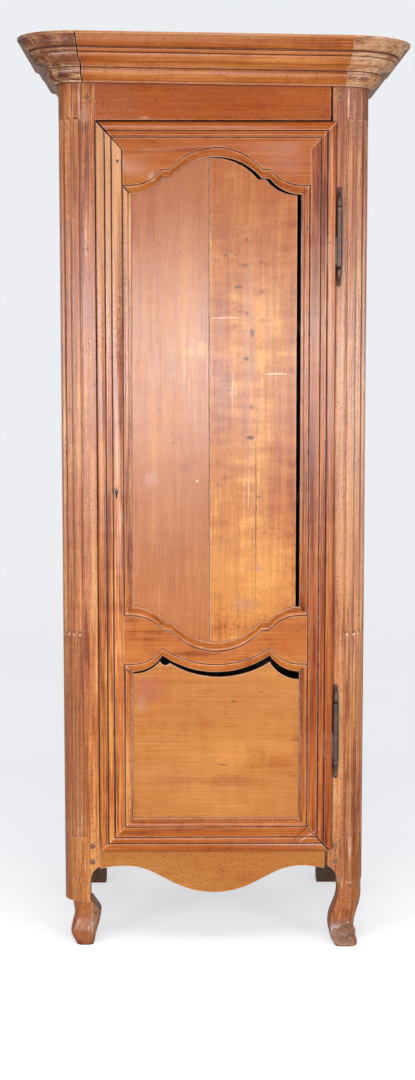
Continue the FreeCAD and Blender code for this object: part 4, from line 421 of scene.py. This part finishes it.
finishes = {
    "postLeft": makeWood("wood_post_left", seed=1.0, heart=(-0.15, 0.02), marks=postLeftMarks, **postLook),
    "postRight": makeWood("wood_post_right", seed=2.0, heart=(0.17, 0.02), marks=postRightMarks,
                          **dict(postLook, deep=tint(140, 66, 30), mid=tint(206, 132, 76),
                                 pale=tint(236, 182, 128), shine=0.36)),
    "footLeft": makeWood("wood_foot_left", seed=3.0, heart=(-0.2, 0.05), marks=footMarks,
                         shine=0.2, deep=tint(110, 56, 28), mid=tint(160, 96, 56), pale=tint(196, 136, 92)),
    "backPost": makeWood("wood_back_post", seed=4.0, **insideShadeLook),
    "frieze": makeWood("wood_frieze", seed=5.0, marks=friezeMarks, **dict(railLook, deep=tint(146, 60, 10),
                       mid=tint(172, 82, 14), pale=tint(188, 100, 26), blush=tint(166, 80, 20),
                       gold=tint(190, 104, 24), blotch=0.9, streak=0.9, ringDark=0.06)),
    "apron": makeWood("wood_apron", seed=6.0, **dict(railLook, deep=tint(166, 92, 36),
                      mid=tint(188, 120, 57), pale=tint(202, 138, 74), blush=tint(186, 110, 50), streak=0.6)),
    "cornice": makeWood("wood_cornice", seed=7.0, marks=corniceTopHighlight, **dict(railLook, mid=tint(186, 106, 46),
                        pale=tint(214, 140, 76), streak=1.8, gloss=0.34)),
    "corniceBlockLeft": makeWood("wood_cornice_left", seed=8.0, along="x", deep=tint(70, 32, 18),
                                 mid=tint(152, 98, 60), pale=tint(214, 170, 122), blush=tint(158, 92, 60),
                                 gold=tint(190, 140, 84), streak=3.4, blotch=2.0, mottle=1.0, gloss=0.36),
    "corniceBlockRight": makeWood("wood_cornice_right", seed=9.0, along="x", deep=tint(124, 64, 34),
                                  mid=tint(204, 148, 102), pale=tint(236, 194, 154), blush=tint(186, 124, 88),
                                  streak=2.6, blotch=1.8, gloss=0.34),
    "corniceSide": makeWood("wood_cornice_side", seed=10.0, along="y", deep=tint(110, 62, 34),
                            mid=tint(160, 104, 64), pale=tint(190, 140, 98)),
    "sideRail": makeWood("wood_side_rail", seed=12.0, **dict(railLook, along="y")),
    "sidePanel": makeWood("wood_side_panel", seed=13.0, **stileLook),
    "stileLock": makeWood("wood_stile_lock", seed=14.0, heart=(-0.16, 0.08), marks=stilePatch + lockSideMarks,
                          **dict(stileLook, mid=tint(194, 108, 46), pale=tint(228, 152, 78))),
    "stileHinge": makeWood("wood_stile_hinge", seed=15.0, heart=(0.17, 0.08), marks=hingeSideMarks,
                           **dict(stileLook, deep=tint(114, 42, 10), mid=tint(168, 84, 28),
                                  pale=tint(200, 118, 50), shine=0.26)),
    "railTop": makeWood("wood_rail_top", seed=16.0, marks=lockSideMarks,
                        **dict(railLook, mid=tint(176, 92, 34), pale=tint(198, 122, 58), shine=0.12)),
    "railMiddle": makeWood("wood_rail_middle", seed=17.0, marks=railPatch + lockSideMarks + hingeSideMarks,
                           **dict(railLook, mid=tint(192, 108, 44), streak=1.1)),
    "railBottom": makeWood("wood_rail_bottom", seed=18.0, marks=hingeSideMarks, **railLook),
    "panelLeft": makeWood("wood_panel_left", seed=19.0, deep=tint(158, 80, 34), shine=0.26,
                          mid=tint(184, 108, 54), pale=tint(204, 132, 72), blush=tint(176, 102, 62),
                          gold=tint(216, 138, 62), heart=(-0.1, 0.3), streak=1.0, ringDark=0.05,
                          marks=panelLeftMarks, **panelEdgeWearAndHighlight),
    "panelRight": makeWood("wood_panel_right", seed=20.0, deep=tint(152, 74, 28), shine=0.19,
                           mid=tint(194, 116, 52), pale=tint(226, 156, 80), blush=tint(178, 98, 56),
                           gold=tint(228, 148, 58), heart=(0.06, 0.14), ringStep=0.006, blotch=1.5, streak=1.0,
                           mottle=1.25, blushAmount=0.7, marks=panelRightMarks, **panelEdgeWearAndHighlight),
    "panelLower": makeWood("wood_panel_lower", seed=21.0, along="x", deep=tint(178, 96, 34),
                           mid=tint(200, 130, 58), pale=tint(216, 150, 78), blush=tint(188, 112, 52),
                           gold=tint(222, 148, 66), heart=(0.5, 0.2), blotch=1.5, streak=1.0, ringDark=0.06,
                           mottle=0.7, specks=0.6, marks=panelLowerMarks, **panelEdgeWearAndHighlight),
    "pegs": makeWood("wood_pegs", seed=22.0, along="y", deep=tint(92, 58, 40), mid=tint(136, 92, 64),
                     pale=tint(166, 118, 84), wearAmount=0.3),
    "inside": makeWood("wood_inside_shaded_across", seed=23.0, **dict(insideShadeLook, along="x")),
    "insideUp": makeWood("wood_inside_shaded_up", seed=24.0, **insideShadeLook),
    "insideDeep": makeWood("wood_inside_shaded_deep", seed=25.0, **dict(insideShadeLook, along="y")),
    "iron": makeIron("iron_dark", tint(66, 56, 52), tint(96, 70, 54), 0.5),
    "lockIron": makeIron("iron_lock", tint(62, 58, 56), tint(84, 64, 52), 0.45),
}

# which finish each CAD node gets; the hinges are iron, and the sides have their own below
nodeFinish = {
    "post_front_left": "postLeft", "post_front_right": "postRight", "foot_front_left": "footLeft",
    "post_back_left": "backPost", "post_back_right": "backPost",
    "rail_front_top": "frieze", "rail_front_bottom": "apron",
    "cornice_front": "cornice", "cornice_corner_left": "corniceBlockLeft",
    "cornice_corner_right": "corniceBlockRight", "cornice_side_left": "corniceSide",
    "cornice_side_right": "corniceSide", "cornice_rail_back": "inside", "cornice_packing": "inside",
    "cornice_nails": "iron", "carcase_pegs": "pegs", "door_pegs": "pegs",
    "door_stile_lock": "stileLock", "door_stile_hinge": "stileHinge", "door_rail_top": "railTop",
    "door_rail_middle": "railMiddle", "door_rail_bottom": "railBottom",
    "door_panel_upper_left": "panelLeft", "door_panel_upper_right": "panelRight",
    "door_panel_lower": "panelLower", "back_boards": "insideUp", "floor_boards": "inside",
    "floor_bearers": "inside", "roof_boards": "inside", "shelf_lower": "inside", "shelf_middle": "inside",
    "shelf_upper": "inside", "shelf_cleats": "insideDeep", "rail_back_top": "inside",
    "rail_back_middle": "inside", "rail_back_bottom": "inside",
    "lock_case": "lockIron", "lock_bolt": "lockIron", "lock_key_pin": "lockIron", "lock_spring": "lockIron",
    "strike_plate": "lockIron",
}
for node, piece in frame["nodes"].items():
    chosen = nodeFinish.get(node)
    if chosen is None:
        chosen = "iron" if node.startswith("hinge") else "sidePanel" if "panel" in node else "sideRail"
    piece.data.materials.clear()
    piece.data.materials.append(finishes[chosen])
print("finishes on", len(frame["nodes"]), "nodes")


# pieces with worn arrises, made over their CAD nodes: how wide the wear is, in metres
arrisWear = {
    "post_front_left": 0.0009, "post_front_right": 0.0009, "foot_front_left": 0.0012,
    "rail_front_top": 0.0012, "rail_front_bottom": 0.0018,
    "cornice_front": 0.0009, "cornice_corner_left": 0.0009, "cornice_corner_right": 0.0009,
    "cornice_side_left": 0.0009, "cornice_side_right": 0.0009,
    "door_stile_lock": 0.0008, "door_stile_hinge": 0.0008, "door_rail_top": 0.0008,
    "door_rail_middle": 0.0008, "door_rail_bottom": 0.0008,
    "door_panel_upper_left": 0.0015, "door_panel_upper_right": 0.0015, "door_panel_lower": 0.0015,
}
arrisSet = {"merge": 2e-6, "flatAngle": 0.6, "smoothAngle": 28, "sharpAngle": 38, "segments": 2, "cutStep": 0.06,
            "upright": 0.95, "shortest": 2.0}
longPieces = {"post_front_left": 0.09, "post_front_right": 0.2,  # worn from this height up
              "door_stile_lock": 0.0, "door_stile_hinge": 0.0}
neckCut = {"foot_front_left": ((-0.286, 0.0, 0.104), (0.824, 0.0, 0.566))}  # a point of the cut and its facing


def addPiece(name, work, finish, smooth=False):
    mesh = bpy.data.meshes.new(name)
    work.to_mesh(mesh)
    work.free()
    mesh.materials.append(finish)
    if smooth:
        mesh.polygons.foreach_set("use_smooth", [True] * len(mesh.polygons))
    piece = bpy.data.objects.new(name, mesh)
    bpy.context.scene.collection.objects.link(piece)
    return piece


def cutAcross(work, node, width):
    # short lengths keep the shading of long faces even, and only their long arrises are worn
    low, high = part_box(node)
    start = low.z + longPieces[node]
    for step in range(1, int((high.z - start) / arrisSet["cutStep"])):
        bmesh.ops.bisect_plane(work, geom=work.verts[:] + work.edges[:] + work.faces[:],
                               plane_co=(0.0, 0.0, start + step * arrisSet["cutStep"]), plane_no=(0.0, 0.0, 1.0))
    weight = work.edges.layers.float.new("bevel_weight_edge")
    for edge in work.edges:
        rise = abs(edge.verts[0].co.z - edge.verts[1].co.z)
        upright = rise > arrisSet["upright"] * edge.calc_length() and min(vert.co.z for vert in edge.verts) > start
        if upright and len(edge.link_faces) == 2 and edge.calc_length() > arrisSet["shortest"] * width:
            edge[weight] = 1.0 if edge.calc_face_angle(0.0) > math.radians(arrisSet["sharpAngle"]) else 0.0


def softenPiece(node, width):
    source = frame["nodes"][node]
    work = bmesh.new()
    work.from_mesh(source.data)
    bmesh.ops.remove_doubles(work, verts=work.verts, dist=arrisSet["merge"])
    bmesh.ops.dissolve_limit(work, angle_limit=math.radians(arrisSet["flatAngle"]), verts=work.verts,
                             edges=work.edges)
    if node in longPieces:
        cutAcross(work, node, width)
    if node in neckCut:
        spot, facing = neckCut[node]
        parted = bmesh.ops.bisect_plane(work, geom=work.verts[:] + work.edges[:] + work.faces[:], plane_co=spot,
                                        plane_no=facing, clear_outer=True)
        rimEdges = [item for item in parted["geom_cut"] if isinstance(item, bmesh.types.BMEdge)]
        bmesh.ops.edgeloop_fill(work, edges=rimEdges)
    piece = addPiece(node + "_soft", work, source.data.materials[0], smooth=True)
    piece.data.set_sharp_from_angle(angle=math.radians(arrisSet["smoothAngle"]))
    bevel = piece.modifiers.new("arris", "BEVEL")
    bevel.width = width
    bevel.segments = arrisSet["segments"]
    bevel.limit_method = "WEIGHT" if node in longPieces else "ANGLE"
    bevel.angle_limit = math.radians(arrisSet["sharpAngle"])
    bevel.harden_normals = True
    bevel.use_clamp_overlap = node not in longPieces
    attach(piece, bodyOf[node])
    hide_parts(node)


for node, width in arrisWear.items():
    softenPiece(node, width)
print("worn arrises on", len(arrisWear), "pieces")

# the small volute carved on the right toe: a disc swept along a shrinking spiral
voluteSet = {"centre": (0.2993, -0.2276, 0.03), "turn": -45.0, "radius": 0.0108, "thick": 0.0017, "sides": 10,
             "steps": 30, "stepTurn": 17.0, "shrink": 0.96}


def makeVolute():
    origin = (0.0, 0.0, 0.0)
    stepTurn = Matrix.Rotation(math.radians(voluteSet["stepTurn"]), 3, "Y")
    wholeTurn = Matrix.Rotation(math.radians(voluteSet["turn"]), 3, "Z")
    work = bmesh.new()
    tip = bmesh.ops.create_circle(work, cap_ends=True, segments=voluteSet["sides"],
                                  radius=voluteSet["thick"])["verts"]
    bmesh.ops.translate(work, vec=(voluteSet["radius"], 0.0, 0.0), verts=tip)
    leading = work.faces[:][0]
    for step in range(voluteSet["steps"]):
        grown = bmesh.ops.extrude_face_region(work, geom=[leading], use_keep_orig=step == 0)["geom"]
        tip = [item for item in grown if isinstance(item, bmesh.types.BMVert)]
        if leading.is_valid and step > 0:
            bmesh.ops.delete(work, geom=[leading], context="FACES_ONLY")
        leading = [item for item in grown if isinstance(item, bmesh.types.BMFace)][0]
        bmesh.ops.rotate(work, cent=origin, matrix=stepTurn, verts=tip)
        bmesh.ops.scale(work, vec=[voluteSet["shrink"]] * 3, verts=tip)
    bmesh.ops.rotate(work, cent=origin, matrix=wholeTurn, verts=work.verts)
    bmesh.ops.translate(work, vec=voluteSet["centre"], verts=work.verts)
    bmesh.ops.recalc_face_normals(work, faces=work.faces)
    volute = addPiece("toe_volute", work, finishes["postRight"], smooth=True)
    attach(volute, "carcase")


makeVolute()
print("volute on the toe")

# loose tongues that close the joints of the back
tongueSet = {"boards": 4, "width": 0.0011, "thickness": 0.004, "inset": 0.004}


def makeTongue(index):
    low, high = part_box("back_boards")
    middle = (low + high) / 2
    work = bmesh.new()
    bmesh.ops.create_cube(work, size=1.0)
    bmesh.ops.scale(work, vec=(tongueSet["width"], tongueSet["thickness"], high.z - low.z - tongueSet["inset"]),
                    verts=work.verts)
    bmesh.ops.translate(work, vec=(low.x + (high.x - low.x) * index / tongueSet["boards"], middle.y, middle.z),
                        verts=work.verts)
    tongue = addPiece("back_tongue_%d" % index, work, finishes["insideUp"])
    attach(tongue, "carcase")


for index in range(1, tongueSet["boards"]):
    makeTongue(index)
print("tongues in the back joints")

# floor, light and camera
stageLook = {"floorSize": 7.0, "floorSides": 96, "floorColour": tint(246, 246, 248), "cloud": tint(240, 240, 243),
             "cloudNoise": (1.6, 4.0, 0.6), "cloudEdge": (0.35, 0.65), "cloudAmount": 0.5,
             "lift": tint(192, 193, 196), "fade": (2.2, 6.6), "sky": tint(236, 238, 242), "skyStrength": 1.0,
             "air": (0.97, 0.985, 1.0, 1.0), "airStrength": 0.26}


def makeFloor():
    # a pale disc that keeps the shadow and fades into the backdrop
    material = bpy.data.materials.new("pale_floor")
    f = NodeSheet(material)
    place = f.node("TexCoord").outputs["Object"]
    cloud = f.spread(f.noise(place, *stageLook["cloudNoise"]).outputs["Fac"], *stageLook["cloudEdge"], 0.0,
                     stageLook["cloudAmount"])
    ground = f.node("BsdfDiffuse", {"Color": f.mix(cloud, stageLook["floorColour"], stageLook["cloud"])})
    seen = f.node("LightPath").outputs["Is Camera Ray"]
    lift = f.node("Emission", {"Color": stageLook["lift"], "Strength": seen})
    lifted = f.node("AddShader", {0: ground.outputs["BSDF"], 1: lift.outputs["Emission"]})
    clear = f.node("BsdfTransparent")
    rim = f.spread(f.vector("LENGTH", place), *stageLook["fade"])
    faded = f.node("MixShader", {0: rim, 1: lifted.outputs["Shader"], 2: clear.outputs["BSDF"]})
    f.node("OutputMaterial", {"Surface": faded.outputs["Shader"]})
    work = bmesh.new()
    bmesh.ops.create_circle(work, cap_ends=True, segments=stageLook["floorSides"], radius=stageLook["floorSize"])
    floor = addPiece("floor", work, material)


def makeSky():
    # the camera sees the backdrop, and the object gets a weaker light from the air
    world = bpy.data.worlds.new("studio")
    bpy.context.scene.world = world
    f = NodeSheet(world)
    ray = f.node("LightPath").outputs
    seen = f.math("MAXIMUM", ray["Is Camera Ray"], ray["Is Transmission Ray"])
    backdrop = f.node("Background", {"Color": stageLook["sky"], "Strength": stageLook["skyStrength"]})
    air = f.node("Background", {"Color": stageLook["air"], "Strength": stageLook["airStrength"]})
    both = f.node("MixShader", {0: seen, 1: air.outputs[0], 2: backdrop.outputs[0]})
    f.node("OutputWorld", {"Surface": both.outputs[0]})


makeFloor()
makeSky()

lampColours = {"glossy": (0.82, 0.92, 1.0), "diffuse": (1.0, 1.0, 1.0)}
lamps = {
    # name: place, aim, width, height, power, which rays it lights
    "sheen_box": ((-0.15, -4.75, 1.3), (0.0, 0.0, 1.3), 1.8, 0.42, 130.0, "glossy"),
    "sheen_left": ((-3.4, -3.0, 1.3), (-0.3, 0.0, 1.3), 4.0, 0.42, 230.0, "glossy"),
    "sheen_right": ((3.4, -3.0, 1.3), (0.3, 0.0, 1.3), 4.0, 0.42, 230.0, "glossy"),
    "front_box": ((-0.15, -4.6, 0.9), (0.0, 0.0, 0.9), 1.8, 0.8, 40.0, "diffuse"),
    "low_box": ((0.0, -1.7, 0.85), (0.0, 0.0, 0.85), 1.6, 0.3, 5.5, "diffuse"),
    "left_box": ((-2.5, -3.2, 1.2), (0.0, 0.0, 0.9), 1.2, 1.6, 34.0, "diffuse"),
    "right_box": ((2.5, -3.2, 1.2), (0.0, 0.0, 0.9), 1.2, 1.6, 30.0, "diffuse"),
    "top_box": ((0.0, -1.9, 4.2), (0.0, 0.0, 0.8), 2.4, 1.6, 34.0, "diffuse"),
}
for name, (spot, aim, width, height, power, share) in lamps.items():
    lamp = bpy.data.lights.new(name, "AREA")
    lamp.shape = "RECTANGLE"
    lamp.size = width
    lamp.size_y = height
    lamp.energy = power
    lamp.color = lampColours[share]
    holder = bpy.data.objects.new(name, lamp)
    holder.location = spot
    holder.rotation_euler = (Vector(aim) - Vector(spot)).to_track_quat("-Z", "Y").to_euler()
    holder.visible_diffuse = share != "glossy"
    holder.visible_glossy = share != "diffuse"
    bpy.context.scene.collection.objects.link(holder)

cameraSet = {"place": (-0.05458, -4.3336, 1.4124), "pitch": 83.567, "roll": 0.03, "yaw": -0.549,
             "sensor": 36.0, "lens": 60.725}
camera = bpy.data.cameras.new("camera")
camera.sensor_fit = "VERTICAL"
camera.sensor_height = cameraSet["sensor"]
camera.lens = cameraSet["lens"]
cameraHolder = bpy.data.objects.new("camera", camera)
cameraHolder.location = cameraSet["place"]
cameraHolder.rotation_euler = [math.radians(cameraSet[key]) for key in ("pitch", "roll", "yaw")]
bpy.context.scene.collection.objects.link(cameraHolder)
bpy.context.scene.camera = cameraHolder
bpy.context.scene.view_settings.view_transform = "Standard"
print("floor, lamps and camera set")
